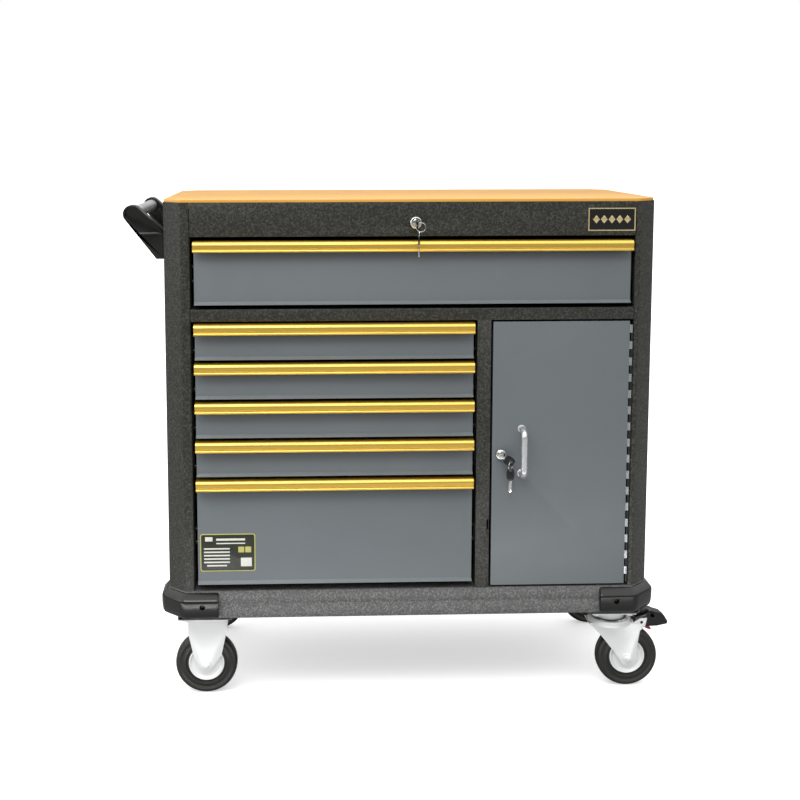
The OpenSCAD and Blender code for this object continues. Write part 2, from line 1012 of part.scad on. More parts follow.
// Folded door pan, open at the back between its return flanges
module door_panel() {
    flange = 22;
    w = door_x1 - door_x0;
    h = door_z1 - door_z0;
    color(slate)
        place()
            difference() {
                translate([door_x0, 0, door_z0])
                    cube([w, door_t, h]);
                translate([door_x0 + tray_sheet, tray_sheet, door_z0 + tray_sheet])
                    cube([w - 2 * tray_sheet, door_t - 2 * tray_sheet, h - 2 * tray_sheet]);
                translate([door_x0 + flange, tray_sheet, door_z0 + flange])
                    cube([w - 2 * flange, door_t, h - 2 * flange]);
                translate([door_lock_x, 0, door_lock_z])
                    bar_y(lock_r, -1, door_t + 1);
            }
}

// Bow handle: two feet, two quarter bends and a straight grip
module door_handle() {
    grip = bow_reach - bow_r;
    reach = grip - bow_bend;
    color(zinc)
        place()
            for (end = [0, 1])
                translate([bow_x, 0, bow_z])
                    mirror([0, 0, end])
                        translate([0, 0, bow_span / 2]) {
                            bar_y(bow_r, -reach, 0);
                            translate([0, -reach, -bow_bend])
                                rotate([0, -90, 0])
                                    rotate([0, 0, -90])
                                        rotate_extrude(angle = 90)
                                            translate([bow_bend, 0])
                                                circle(r = bow_r, $fn = 24);
                            translate([0, -grip, -bow_span / 2])
                                cylinder(r = bow_r, h = bow_span / 2 - bow_bend, $fn = 24);
                        }
}

module door_lock_barrel() {
    lock_barrel(door_lock_x, door_lock_z, 11);
}

module door_lock_plug() {
    lock_plug(door_lock_x, door_lock_z, 90, 32);
}

// Folding key in the door lock, its black head turned down beside the lock
module door_key() {
    color(black)
        place()
            translate([door_lock_x, 0, door_lock_z]) {
                translate([-3.5, -17, -1.2])
                    cube([7, 9, 2.4]);
                difference() {
                    translate([0, -20, 0])
                        rotate([0, 35, 0]) {
                            translate([-3.5, 0, -3])
                                cube([14, 4, 6]);
                            translate([8, 0, -8.5])
                                cube([18, 4, 17]);
                        }
                    translate([spare_x, 0, -spare_drop])
                        bar_y(key_hole_r, -21, -15);
                }
            }
}

// Spare key on its wire ring, hanging from the head of the door key
module door_spare_key() {
    hook_z = door_lock_z - spare_drop + 1 - ring_r;
    head_top = hook_z - ring_r + key_hole_r + 2.5;
    head_h = 25;
    color(black)
        place()
            translate([door_lock_x + spare_x, -18, 0]) {
                translate([0, 0, hook_z])
                    rotate([0, 90, 0])
                        rotate_extrude($fn = 32)
                            translate([ring_r, 0])
                                circle(r = ring_wire, $fn = 16);
                difference() {
                    translate([-7.5, -1.5, head_top - head_h])
                        cube([15, 3, head_h]);
                    translate([0, 0, hook_z - ring_r + 0.5])
                        bar_y(key_hole_r, -2, 2);
                }
                translate([-3, -1, head_top - head_h - 26])
                    cube([6, 2, 26.5]);
            }
}

side_panel_left();
side_panel_right();
back_panel();
base_pan();
top_pan();
worktop();
lock_fascia();
middle_deck();
center_post();
cupboard_shelf();
slide_uprights();
slide_outer_rails();
badge_plate();
handle_brackets();
handle_tube();
corner_bumpers();
bumper_screws();
rigid_forks();
swivel_top_plates();
swivel_fork(caster_y);  // swivel_fork_front
swivel_fork(body_d - caster_y);  // swivel_fork_rear
brake_pedal(caster_y);  // brake_pedal_front
brake_pedal(body_d - caster_y);  // brake_pedal_rear
hub(caster_left_x, caster_y);  // hub_front_left
hub(caster_left_x, body_d - caster_y);  // hub_rear_left
hub(axle_x, caster_y);  // hub_front_right
hub(axle_x, body_d - caster_y);  // hub_rear_right
tyre(caster_left_x, caster_y);  // tyre_front_left
tyre(caster_left_x, body_d - caster_y);  // tyre_rear_left
tyre(axle_x, caster_y);  // tyre_front_right
tyre(axle_x, body_d - caster_y);  // tyre_rear_right
drawer_tray(1);  // drawer_1_tray
drawer_tray(2);  // drawer_2_tray
drawer_tray(3);  // drawer_3_tray
drawer_tray(4);  // drawer_4_tray
drawer_tray(5);  // drawer_5_tray
drawer_tray(6);  // drawer_6_tray
drawer_pull(1);  // drawer_1_pull
drawer_pull(2);  // drawer_2_pull
drawer_pull(3);  // drawer_3_pull
drawer_pull(4);  // drawer_4_pull
drawer_pull(5);  // drawer_5_pull
drawer_pull(6);  // drawer_6_pull
slide_middle(1);  // slide_middle_1
slide_middle(2);  // slide_middle_2
slide_middle(3);  // slide_middle_3
slide_middle(4);  // slide_middle_4
slide_middle(5);  // slide_middle_5
slide_middle(6);  // slide_middle_6
top_lock_barrel();
top_lock_plug();
top_key();
hinge_frame_leaf();
hinge_door_leaf();
door_panel();
door_handle();
door_lock_barrel();
door_lock_plug();
door_key();
door_spare_key();
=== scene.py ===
# %% [markdown]
# # Rolling tool chest
# A steel workshop chest: a black textured cabinet with folded corner columns, six grey
# drawers with gold pulls, a cupboard, a yellow board top and four casters.
# The measured model arrives first. Every later size is worked out from its boxes, so a
# piece made here always sits where the mechanism expects it.

# %% Load the measured frame
import json
import math

import bmesh
import bpy
from mathutils import Matrix, Vector


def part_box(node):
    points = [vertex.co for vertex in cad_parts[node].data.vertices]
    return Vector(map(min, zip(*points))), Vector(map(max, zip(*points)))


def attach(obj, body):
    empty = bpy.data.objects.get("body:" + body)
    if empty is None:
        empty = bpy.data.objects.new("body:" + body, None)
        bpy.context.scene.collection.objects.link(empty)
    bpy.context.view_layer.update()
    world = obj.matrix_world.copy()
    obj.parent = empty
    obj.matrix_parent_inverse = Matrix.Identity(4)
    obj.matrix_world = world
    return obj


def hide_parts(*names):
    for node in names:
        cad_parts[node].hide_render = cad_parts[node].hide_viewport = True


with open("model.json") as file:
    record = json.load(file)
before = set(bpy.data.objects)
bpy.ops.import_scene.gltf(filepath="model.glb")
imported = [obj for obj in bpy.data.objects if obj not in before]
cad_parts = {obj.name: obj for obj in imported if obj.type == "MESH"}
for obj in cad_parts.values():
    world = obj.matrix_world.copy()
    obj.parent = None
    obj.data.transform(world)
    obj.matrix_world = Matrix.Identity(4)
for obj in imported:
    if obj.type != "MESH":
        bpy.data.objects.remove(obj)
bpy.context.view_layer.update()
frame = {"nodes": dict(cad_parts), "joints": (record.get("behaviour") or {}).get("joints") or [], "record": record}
boxes = {name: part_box(name) for name in frame["nodes"]}
body_of_node = {n: body for body, nodes in frame["record"]["behaviour"]["bodies"].items() for n in nodes}
slot_of_node = {row["node"]: row["material_slot"] for row in frame["record"]["subparts"]}
joint_at = {j["name"]: Vector(j["pos_m"]) for j in frame["joints"] if "pos_m" in j}
MM = 0.001

# %% [markdown]
# The cabinet's own directions. The front plane, the middle and the column edges are read
# from the boxes of the side panels and the fascia, and the rest of the script speaks of
# them by name.

# %% Name the main planes
FRONT = boxes["side_panel_left"][0].y
BACK = boxes["side_panel_left"][1].y
LEFT = boxes["side_panel_left"][0].x
RIGHT = boxes["side_panel_right"][1].x
MIDDLE = (LEFT + RIGHT) / 2
OPEN_LEFT = boxes["lock_fascia"][0].x
OPEN_RIGHT = boxes["lock_fascia"][1].x
SIDE_LOW = boxes["side_panel_left"][0].z
SIDE_TOP = boxes["side_panel_left"][1].z
SHEET = 1.5 * MM
CHAMFER = Vector((36 * MM, 34 * MM))
print("front plane", round(FRONT, 4), "column width", round(OPEN_LEFT - LEFT, 4))

# %% [markdown]
# ## Shader groups
# Several finishes share the same effects. Each effect is a node group that is built once:
# the powder coat's fine bumps and painted glints, the drawn lines of metal, slow mottling, and the
# pale wear and painted highlight that edges collect. A group only puts out values, and the shader stays in the
# material.

# %% Small helpers for node trees
def add(tree, kind, **settings):
    node = tree.nodes.new(kind)
    for key, value in settings.items():
        setattr(node, key, value)
    return node


def wire(tree, a, b):
    tree.links.new(a, b)


def math_node(tree, operation, a, b=None, clamp=False):
    node = add(tree, "ShaderNodeMath", operation=operation, use_clamp=clamp)
    for i, value in enumerate((a, b)):
        if value is None:
            continue
        if isinstance(value, (int, float)):
            node.inputs[i].default_value = value
        else:
            wire(tree, value, node.inputs[i])
    return node.outputs[0]


def ramp(tree, value, low, high, to_low=0.0, to_high=1.0):
    node = add(tree, "ShaderNodeMapRange")
    wire(tree, value, node.inputs["Value"])
    for key, number in (("From Min", low), ("From Max", high), ("To Min", to_low), ("To Max", to_high)):
        node.inputs[key].default_value = number
    return node.outputs[0]


def noise(tree, vector, scale, detail=2.0, rough=0.5):
    node = add(tree, "ShaderNodeTexNoise")
    wire(tree, vector, node.inputs["Vector"])
    if isinstance(scale, (int, float)):
        node.inputs["Scale"].default_value = scale
    else:
        wire(tree, scale, node.inputs["Scale"])
    node.inputs["Detail"].default_value = detail
    node.inputs["Roughness"].default_value = rough
    return node.outputs["Fac"]


def start_group(name, inputs, outputs):
    tree = bpy.data.node_groups.new(name, "ShaderNodeTree")
    for label, default in inputs:
        kind = "NodeSocketVector" if isinstance(default, tuple) else "NodeSocketFloat"
        socket = tree.interface.new_socket(label, in_out="INPUT", socket_type=kind)
        socket.default_value = default
    for label in outputs:
        tree.interface.new_socket(label, in_out="OUTPUT", socket_type="NodeSocketFloat")
    return tree, add(tree, "NodeGroupInput"), add(tree, "NodeGroupOutput")


# %% Powder coat: rounded grains, and on a few of them a pale colour as painted glints where they would catch the light
powder, powder_in, powder_out = start_group("powder_grains", [("Grain", 520.0)], ["Height", "Painted glints"])
place = add(powder, "ShaderNodeTexCoord").outputs["Object"]
lumps = noise(powder, place, powder_in.outputs["Grain"], 3.0, 0.55)
cells = add(powder, "ShaderNodeTexVoronoi", feature="SMOOTH_F1")
wire(powder, place, cells.inputs["Vector"])
wire(powder, powder_in.outputs["Grain"], cells.inputs["Scale"])
domes = math_node(powder, "SUBTRACT", 1.0, cells.outputs["Distance"])
wire(powder, math_node(powder, "ADD", lumps, math_node(powder, "MULTIPLY", domes, 0.6)),
     powder_out.inputs["Height"])
coarse_scale = math_node(powder, "MULTIPLY", powder_in.outputs["Grain"], 0.62)
glints = noise(powder, place, coarse_scale, 3.0, 0.7)
wire(powder, ramp(powder, glints, 0.46, 0.66), powder_out.inputs["Painted glints"])
print("group", powder.name)

# %% Drawn lines: noise that is stretched along one direction
drawn, drawn_in, drawn_out = start_group("drawn_lines", [("Stretch", (1.0, 1.0, 1.0))], ["Lines", "Broad"])
place = add(drawn, "ShaderNodeTexCoord").outputs["Object"]
scaled = add(drawn, "ShaderNodeVectorMath", operation="MULTIPLY")
wire(drawn, place, scaled.inputs[0])
wire(drawn, drawn_in.outputs["Stretch"], scaled.inputs[1])
wire(drawn, noise(drawn, scaled.outputs[0], 1.0, 4.0, 0.65), drawn_out.inputs["Lines"])
wire(drawn, noise(drawn, scaled.outputs[0], 0.18, 2.0, 0.5), drawn_out.inputs["Broad"])
print("group", drawn.name)

# %% Mottling: slow and middle-sized unevenness, for handling marks and zinc bloom
mottle, mottle_in, mottle_out = start_group("mottling", [("Scale", 12.0)], ["Slow", "Smudge"])
place = add(mottle, "ShaderNodeTexCoord").outputs["Object"]
wire(mottle, noise(mottle, place, mottle_in.outputs["Scale"], 3.0, 0.55), mottle_out.inputs["Slow"])
wider = math_node(mottle, "MULTIPLY", mottle_in.outputs["Scale"], 4.5)
wire(mottle, ramp(mottle, noise(mottle, place, wider, 5.0, 0.7), 0.45, 0.75), mottle_out.inputs["Smudge"])
print("group", mottle.name)

# %% Edge wear and painted edge highlight: where a rounded normal differs from the true one there is an edge
wear_and_highlight, wear_and_highlight_in, wear_and_highlight_out = start_group("edge_wear_and_highlight", [("Amount", 1.0), ("Scale", 90.0)], ["Mask"])
rounded = add(wear_and_highlight, "ShaderNodeBevel", samples=4)
rounded.inputs["Radius"].default_value = 1.1 * MM
true_normal = add(wear_and_highlight, "ShaderNodeNewGeometry")
facing = add(wear_and_highlight, "ShaderNodeVectorMath", operation="DOT_PRODUCT")
wire(wear_and_highlight, rounded.outputs[0], facing.inputs[0])
wire(wear_and_highlight, true_normal.outputs["Normal"], facing.inputs[1])
edge = ramp(wear_and_highlight, facing.outputs["Value"], 0.985, 0.80)
place = add(wear_and_highlight, "ShaderNodeTexCoord").outputs["Object"]
broken = ramp(wear_and_highlight, noise(wear_and_highlight, place, wear_and_highlight_in.outputs["Scale"], 3.0, 0.6), 0.35, 0.7)
worn_and_highlight = math_node(wear_and_highlight, "MULTIPLY", edge, broken)
wire(wear_and_highlight, math_node(wear_and_highlight, "MULTIPLY", worn_and_highlight, wear_and_highlight_in.outputs["Amount"], clamp=True), wear_and_highlight_out.inputs["Mask"])
print("group", wear_and_highlight.name)

# %% Dust: a thin pale film on faces that look up
dust, dust_in, dust_out = start_group("settled_dust", [("Amount", 1.0)], ["Mask"])
up = add(dust, "ShaderNodeSeparateXYZ")
wire(dust, add(dust, "ShaderNodeNewGeometry").outputs["Normal"], up.inputs[0])
place = add(dust, "ShaderNodeTexCoord").outputs["Object"]
patches = ramp(dust, noise(dust, place, 38.0, 5.0, 0.65), 0.42, 0.72)
film = math_node(dust, "MULTIPLY", ramp(dust, up.outputs["Z"], 0.55, 0.95), patches)
wire(dust, math_node(dust, "MULTIPLY", film, dust_in.outputs["Amount"], clamp=True), dust_out.inputs["Mask"])
print("group", dust.name)

# %% [markdown]
# ## Finishes
# A finish starts from a Principled shader. Colours are chosen as they look on a screen and
# turned to linear light. `layer_colour` lays a second colour over the first where a mask
# says so, which is how speckle, wear and dust come on top of the paint.

# %% Helpers for finishes
def screen(r, g, b):
    def linear(c):
        c = c / 255
        return c / 12.92 if c <= 0.04045 else ((c + 0.055) / 1.055) ** 2.4
    return (linear(r), linear(g), linear(b), 1.0)


def new_finish(name, roughness, metallic=0.0, coat=0.0, specular=0.5):
    material = bpy.data.materials.new(name)
    material.use_nodes = True
    tree = material.node_tree
    shader = tree.nodes["Principled BSDF"]
    shader.inputs["Roughness"].default_value = roughness
    shader.inputs["Metallic"].default_value = metallic
    shader.inputs["Coat Weight"].default_value = coat
    shader.inputs["Specular IOR Level"].default_value = specular
    return material, tree, shader


def use_group(tree, group, **values):
    node = add(tree, "ShaderNodeGroup", node_tree=group)
    for key, value in values.items():
        node.inputs[key].default_value = value
    return node


def layer_colour(tree, base, top, mask, strength=1.0):
    mix = add(tree, "ShaderNodeMix", data_type="RGBA")
    wire(tree, math_node(tree, "MULTIPLY", mask, strength, clamp=True), mix.inputs["Factor"])
    for socket, value in ((mix.inputs[6], base), (mix.inputs[7], top)):
        if isinstance(value, tuple):
            socket.default_value = value
        else:
            wire(tree, value, socket)
    return mix.outputs[2]


def set_bump(tree, shader, height, strength, distance):
    bump = add(tree, "ShaderNodeBump")
    bump.inputs["Strength"].default_value = strength
    bump.inputs["Distance"].default_value = distance
    wire(tree, height, bump.inputs["Height"])
    wire(tree, bump.outputs["Normal"], shader.inputs["Normal"])


# %% [markdown]
# ### Paint
# The cabinet wears a black powder coat with a coarse, sandy texture, and the drawers a smooth
# grey one. The base takes the same black coat in a paler grey, as painted light bounced up from the floor.
# All come from the same recipe with other numbers: colour, mottling, painted glints on the grains, worn edges with a
# painted edge highlight and a little dust, then the grains again as bump.

# %% Powder coats
def painted(name, colour, pale, grain, bump, roughness, glint_paint, wear_and_highlight_amount, specular=0.5):
    material, tree, shader = new_finish(name, roughness, specular=specular)
    grains = use_group(tree, powder, Grain=grain)
    slow = use_group(tree, mottle, Scale=5.0)
    edges = use_group(tree, wear_and_highlight, Amount=wear_and_highlight_amount, Scale=70.0)
    film = use_group(tree, dust, Amount=0.25)
    darker = tuple(c * 0.88 for c in colour[:3]) + (1.0,)
    skin = layer_colour(tree, colour, darker, slow.outputs["Slow"])
    # a pale colour on a few grains: painted glints
    skin = layer_colour(tree, skin, pale, grains.outputs["Painted glints"], glint_paint)
    # paler edges: edge wear and a painted edge highlight
    skin = layer_colour(tree, skin, pale, edges.outputs["Mask"], 0.8)
    skin = layer_colour(tree, skin, screen(150, 146, 138), film.outputs["Mask"], 0.5)
    wire(tree, skin, shader.inputs["Base Color"])
    rough = ramp(tree, slow.outputs["Smudge"], 0.0, 1.0, roughness - 0.05, roughness + 0.07)
    wire(tree, rough, shader.inputs["Roughness"])
    set_bump(tree, shader, grains.outputs["Height"], bump, 0.5 * MM)
    return material


BLACK_PAINT = painted("black_textured_paint", screen(30, 30, 25), screen(84, 84, 76), 430.0, 0.6, 0.42,
                      0.7, 0.3)
GREY_PAINT = painted("grey_satin_paint", screen(104, 110, 113), screen(168, 176, 178), 1500.0, 0.08, 0.40,
                     0.04, 0.6)
# the black coat again, painted paler grey as light bounced up from the floor
FLOOR_LIT_PAINT = painted("black_paint_with_painted_floor_light", screen(78, 79, 78), screen(132, 133, 131), 430.0, 0.6, 0.42,
                     0.7, 0.3)
print("paints", BLACK_PAINT.name, GREY_PAINT.name, FLOOR_LIT_PAINT.name)

# %% [markdown]
# ### Metals
# Gold-anodised aluminium keeps the fine lines of the extrusion die along its length. Zinc
# plating on the casters and slides is pale and slightly cloudy, chrome on locks and hinge
# is nearly clean, and the push handle is a satin tube.

# %% Metals
def metal(name, colour, second, stretch, roughness, spread, bump, metallic=1.0, cloud=14.0, worn_and_highlight=0.5):
    material, tree, shader = new_finish(name, roughness, metallic=metallic)
    lines = use_group(tree, drawn, Stretch=stretch)
    slow = use_group(tree, mottle, Scale=cloud)
    edges = use_group(tree, wear_and_highlight, Amount=worn_and_highlight, Scale=120.0)
    skin = layer_colour(tree, colour, second, slow.outputs["Slow"], 0.5)
    skin = layer_colour(tree, skin, second, lines.outputs["Lines"], 0.25)
    # edges take a brighter copy of the colour: edge wear and a painted edge highlight
    bright = tuple(min(1.0, c * 1.25) for c in colour[:3]) + (1.0,)
    skin = layer_colour(tree, skin, bright, edges.outputs["Mask"], 0.6)
    wire(tree, skin, shader.inputs["Base Color"])
    mixed = math_node(tree, "ADD", math_node(tree, "MULTIPLY", lines.outputs["Lines"], 0.6),
                      math_node(tree, "MULTIPLY", slow.outputs["Smudge"], 0.4))
    wire(tree, ramp(tree, mixed, 0.2, 0.8, roughness - spread, roughness + spread),
         shader.inputs["Roughness"])
    set_bump(tree, shader, lines.outputs["Lines"], bump, 0.15 * MM)
    return material


GOLD = metal("gold_anodised_aluminium", screen(238, 200, 98), screen(232, 190, 84), (2.0, 220.0, 220.0),
             0.30, 0.01, 0.0, metallic=0.92, cloud=3.0, worn_and_highlight=0.0)
ZINC = metal("bright_zinc_plate", screen(236, 237, 236), screen(224, 226, 226), (260.0, 260.0, 260.0),
             0.34, 0.03, 0.0, metallic=0.25, cloud=6.0)
SLIDE_STEEL = metal("rolled_slide_steel", screen(190, 194, 198), screen(160, 166, 172), (500.0, 4.0, 500.0),
                    0.33, 0.08, 0.25)
CHROME = metal("polished_chrome", screen(232, 232, 230), screen(205, 206, 206), (600.0, 600.0, 600.0),
               0.14, 0.05, 0.03, cloud=40.0)
TUBE = metal("satin_tube", screen(222, 222, 222), screen(196, 198, 200), (700.0, 5.0, 700.0),
             0.34, 0.07, 0.2, metallic=0.85)
HANDLE_METAL = metal("satin_bow", screen(226, 227, 228), screen(200, 203, 206), (700.0, 700.0, 6.0),
                     0.28, 0.07, 0.2, metallic=0.8)
DARK_STEEL = metal("dark_steel_finish", screen(58, 58, 56), screen(38, 38, 36), (400.0, 400.0, 400.0),
                   0.42, 0.08, 0.15, metallic=0.7)
print("metals", 7)

# %% [markdown]
# ### Board, plastics and rubber
# The top is a yellow laminated board with a faint long grain. The bumpers, brackets and
# pedals are moulded with a fine sand grain, the key heads are glossier, and the tyres
# are matt rubber that has picked up a little dust from the floor.

# %% Laminated board
def board_finish():
    material, tree, shader = new_finish("yellow_laminate", 0.38, coat=0.12)
    lines = use_group(tree, drawn, Stretch=(9.0, 190.0, 190.0))
    slow = use_group(tree, mottle, Scale=4.0)
    film = use_group(tree, dust, Amount=0.12)
    skin = layer_colour(tree, screen(218, 160, 64), screen(204, 144, 52), lines.outputs["Lines"], 0.4)
    skin = layer_colour(tree, skin, screen(224, 172, 80), lines.outputs["Broad"], 0.4)
    skin = layer_colour(tree, skin, screen(214, 158, 66), slow.outputs["Smudge"], 0.3)
    skin = layer_colour(tree, skin, screen(214, 204, 184), film.outputs["Mask"], 0.5)
    wire(tree, skin, shader.inputs["Base Color"])
    wire(tree, ramp(tree, slow.outputs["Smudge"], 0.0, 1.0, 0.34, 0.46), shader.inputs["Roughness"])
    set_bump(tree, shader, lines.outputs["Lines"], 0.10, 0.2 * MM)
    return material


BOARD = board_finish()
print("board", BOARD.name)


# %% Moulded plastics and rubber
def moulded(name, colour, pale, grain, bump, roughness, dusty, glint_paint=0.10, specular=0.5):
    material, tree, shader = new_finish(name, roughness, specular=specular)
    grains = use_group(tree, powder, Grain=grain)
    slow = use_group(tree, mottle, Scale=16.0)
    edges = use_group(tree, wear_and_highlight, Amount=0.35, Scale=110.0)
    film = use_group(tree, dust, Amount=dusty)
    skin = layer_colour(tree, colour, pale, slow.outputs["Smudge"], 0.14)
    # a pale colour on a few grains: painted glints
    skin = layer_colour(tree, skin, pale, grains.outputs["Painted glints"], glint_paint)
    # paler edges: edge wear and a painted edge highlight
    skin = layer_colour(tree, skin, pale, edges.outputs["Mask"], 0.5)
    skin = layer_colour(tree, skin, screen(140, 134, 124), film.outputs["Mask"], 0.6)
    wire(tree, skin, shader.inputs["Base Color"])
    wire(tree, ramp(tree, slow.outputs["Slow"], 0.3, 0.7, roughness - 0.06, roughness + 0.06),
         shader.inputs["Roughness"])
    set_bump(tree, shader, grains.outputs["Height"], bump, 0.3 * MM)
    return material


BLACK_PLASTIC = moulded("black_moulded_plastic", screen(13, 13, 11), screen(34, 34, 31), 1100.0, 0.08, 0.2,
                         0.05)
PEDAL_PLASTIC = moulded("pedal_plastic", screen(14, 14, 13), screen(36, 36, 34), 1000.0, 0.08, 0.22, 0.05)
KEY_PLASTIC = moulded("key_plastic", screen(18, 18, 18), screen(60, 60, 58), 1600.0, 0.08, 0.25, 0.1)
RED_PLASTIC = moulded("red_plastic", screen(168, 22, 48), screen(214, 84, 96), 1300.0, 0.1, 0.3, 0.1)
RUBBER = moulded("tyre_rubber", screen(30, 30, 27), screen(48, 48, 44), 750.0, 0.15, 0.36, 0.08)
LINER_RUBBER = moulded("liner_rubber", screen(30, 30, 30), screen(66, 66, 64), 900.0, 0.3, 0.62, 0.3)
print("plastics and rubber", 6)

# %% [markdown]
# ### Printed plates
# The badge is a black gloss plate with a pale gold frame. The data plate on the deep
# drawer is dark with an olive border and pale, empty blocks: nothing on either can be
# read, because a reusable part carries no one's name.

# %% Printed finishes
PLATE_BLACK = moulded("plate_black", screen(16, 16, 15), screen(44, 44, 40), 1800.0, 0.05, 0.22, 0.05, 0.03)
PLATE_GOLD = metal("plate_gold", screen(240, 226, 176), screen(220, 196, 130), (300.0, 900.0, 900.0),
                   0.28, 0.06, 0.08, metallic=0.75)
PLATE_OLIVE = moulded("plate_olive", screen(176, 172, 92), screen(214, 210, 140), 1400.0, 0.05, 0.4, 0.05)
PLATE_PALE = moulded("plate_pale", screen(208, 210, 200), screen(240, 240, 232), 1400.0, 0.05, 0.42, 0.05)
PLATE_DARK = moulded("plate_dark", screen(36, 38, 30), screen(70, 72, 58), 1400.0, 0.05, 0.35, 0.05)
print("plates", 5)

# %% [markdown]
# ## Making pieces
# `finish_piece` is the last step of every piece: it gives the finish, shades round faces
# smoothly while keeping real corners crisp, and lets the piece ride on its body. A piece
# that stands for measured nodes also takes their place in the picture.

# %% Piece helpers
def finish_piece(name, mesh, material, body, stands_for=(), slot=None, angle=32.0):
    mesh.name = name
    if material is not None:
        mesh.materials.clear()
        mesh.materials.append(material)
    for polygon in mesh.polygons:
        polygon.use_smooth = True
    mesh.set_sharp_from_angle(angle=math.radians(angle))
    piece = bpy.data.objects.new(name, mesh)
    bpy.context.scene.collection.objects.link(piece)
    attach(piece, body)
    if stands_for:
        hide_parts(*stands_for)
        slot = slot or slot_of_node[stands_for[0]]
    return piece


def mesh_from(name, vertices, faces, tidy=True):
    mesh = bpy.data.meshes.new(name)
    mesh.from_pydata([tuple(v) for v in vertices], [], faces)
    if tidy:
        work = bmesh.new()
        work.from_mesh(mesh)
        bmesh.ops.remove_doubles(work, verts=work.verts, dist=1e-6)
        bmesh.ops.recalc_face_normals(work, faces=work.faces)
        work.to_mesh(mesh)
        work.free()
    return mesh


def bevelled(mesh, width, segments=2, angle=30.0):
    holder = bpy.data.objects.new("holder", mesh)
    bpy.context.scene.collection.objects.link(holder)
    bevel = holder.modifiers.new("edges", "BEVEL")
    bevel.width = width
    bevel.segments = segments
    bevel.limit_method = "ANGLE"
    bevel.angle_limit = math.radians(angle)
    bevel.use_clamp_overlap = True
    return evaluated(holder)


def evaluated(holder):
    bpy.context.view_layer.update()
    graph = bpy.context.evaluated_depsgraph_get()
    result = bpy.data.meshes.new_from_object(holder.evaluated_get(graph))
    bpy.data.objects.remove(holder)
    return result


def merged(*meshes):
    work = bmesh.new()
    for mesh in meshes:
        work.from_mesh(mesh)
    result = bpy.data.meshes.new("merged")
    work.to_mesh(result)
    work.free()
    return result


# %% [markdown]
# Many steel parts already have the right shape and only lack what a press brake or a
# mould leaves: a small radius on each edge that catches a line of light. `dress` welds a
# copy of a node's triangles, melts flat ones together and rounds the edges.

# %% Rounding the edges of measured parts
def dress(node, material, width=0.35 * MM, segments=2, name=None):
    mesh = frame["nodes"][node].data.copy()
    work = bmesh.new()
    work.from_mesh(mesh)
    bmesh.ops.remove_doubles(work, verts=work.verts, dist=2e-6)
    bmesh.ops.dissolve_limit(work, angle_limit=math.radians(0.6), verts=work.verts, edges=work.edges)
    work.to_mesh(mesh)
    work.free()
    mesh.materials.clear()
    mesh = bevelled(mesh, width, segments)
    return finish_piece(name or node + "_skin", mesh, material, body_of_node[node], (node,))


for node in ("lock_fascia", "middle_deck", "center_post", "top_pan", "back_panel", "cupboard_shelf"):
    dress(node, BLACK_PAINT)
# the base pan takes the paler copy of the black coat: painted floor light
dress("base_pan", FLOOR_LIT_PAINT)
dress("slide_uprights", DARK_STEEL, 0.25 * MM, 1)
dress("slide_outer_rails", DARK_STEEL, 0.25 * MM, 1)
for number in range(1, 7):
    dress(f"slide_middle_{number}", SLIDE_STEEL, 0.2 * MM, 1)
    dress(f"drawer_{number}_tray", GREY_PAINT, 0.3 * MM)
dress("door_panel", GREY_PAINT, 1.0 * MM, 4)
# the frame leaf is dark steel, so its knuckles show as dark dashes between the door leaf's paler ones
dress("hinge_frame_leaf", DARK_STEEL, 0.2 * MM, 1)
dress("hinge_door_leaf", SLIDE_STEEL, 0.2 * MM, 1)
dress("rigid_forks", ZINC, 0.6 * MM)
dress("swivel_top_plates", ZINC, 0.5 * MM)
for end in ("front", "rear"):
    dress(f"swivel_fork_{end}", ZINC, 0.6 * MM)
print("dressed parts done")

# %% [markdown]
# ## Side panels
# Each side is one sheet: it starts as the return that the drawers pass, turns across the
# column's face, leans back over the chamfer, runs down the side and ends in a flange at
# the back. A polyline with small arcs at its bends is offset by the sheet's thickness and
# raised, so the bends shine like folded steel and not like a cut block.

# %% Folded sheets
def rounded_path(points, radius, steps=6):
    path = [Vector(points[0])]
    for a, b, c in zip(points, points[1:], points[2:]):
        a, b, c = Vector(a), Vector(b), Vector(c)
        to_a, to_c = (a - b).normalized(), (c - b).normalized()
        half = to_a.angle(to_c) / 2
        centre = b + (to_a + to_c).normalized() * radius / math.sin(half)
        first = b + to_a * radius / math.tan(half) - centre
        last = b + to_c * radius / math.tan(half) - centre
        turn = first.angle(last)
        for i in range(steps + 1):
            share = i / steps
            arm = first * math.sin((1 - share) * turn) + last * math.sin(share * turn)
            path.append(centre + arm / math.sin(turn))
    path.append(Vector(points[-1]))
    return path


def offset_path(path, distance):
    result = []
    for i, point in enumerate(path):
        before = path[max(i - 1, 0)]
        after = path[min(i + 1, len(path) - 1)]
        along = (after - before).normalized()
        result.append(point + Vector((along.y, -along.x)) * distance)
    return result


def folded_sheet(points, radius, thickness, low_z, high_z):
    outer = rounded_path(points, radius)
    inner = offset_path(outer, thickness)
    count = len(outer)
    vertices = [(p.x, p.y, z) for z in (low_z, high_z) for row in (outer, inner) for p in row]
    faces = []
    for i in range(count - 1):
        j = i + 1
        faces.append((i, j, 2 * count + j, 2 * count + i))
        faces.append((count + j, count + i, 3 * count + i, 3 * count + j))
        faces.append((i, count + i, count + j, j))
        faces.append((2 * count + i, 2 * count + j, 3 * count + j, 3 * count + i))
    for i in (0, count - 1):
        faces.append((i, 2 * count + i, 3 * count + i, count + i))
    return mesh_from("sheet", vertices, faces)


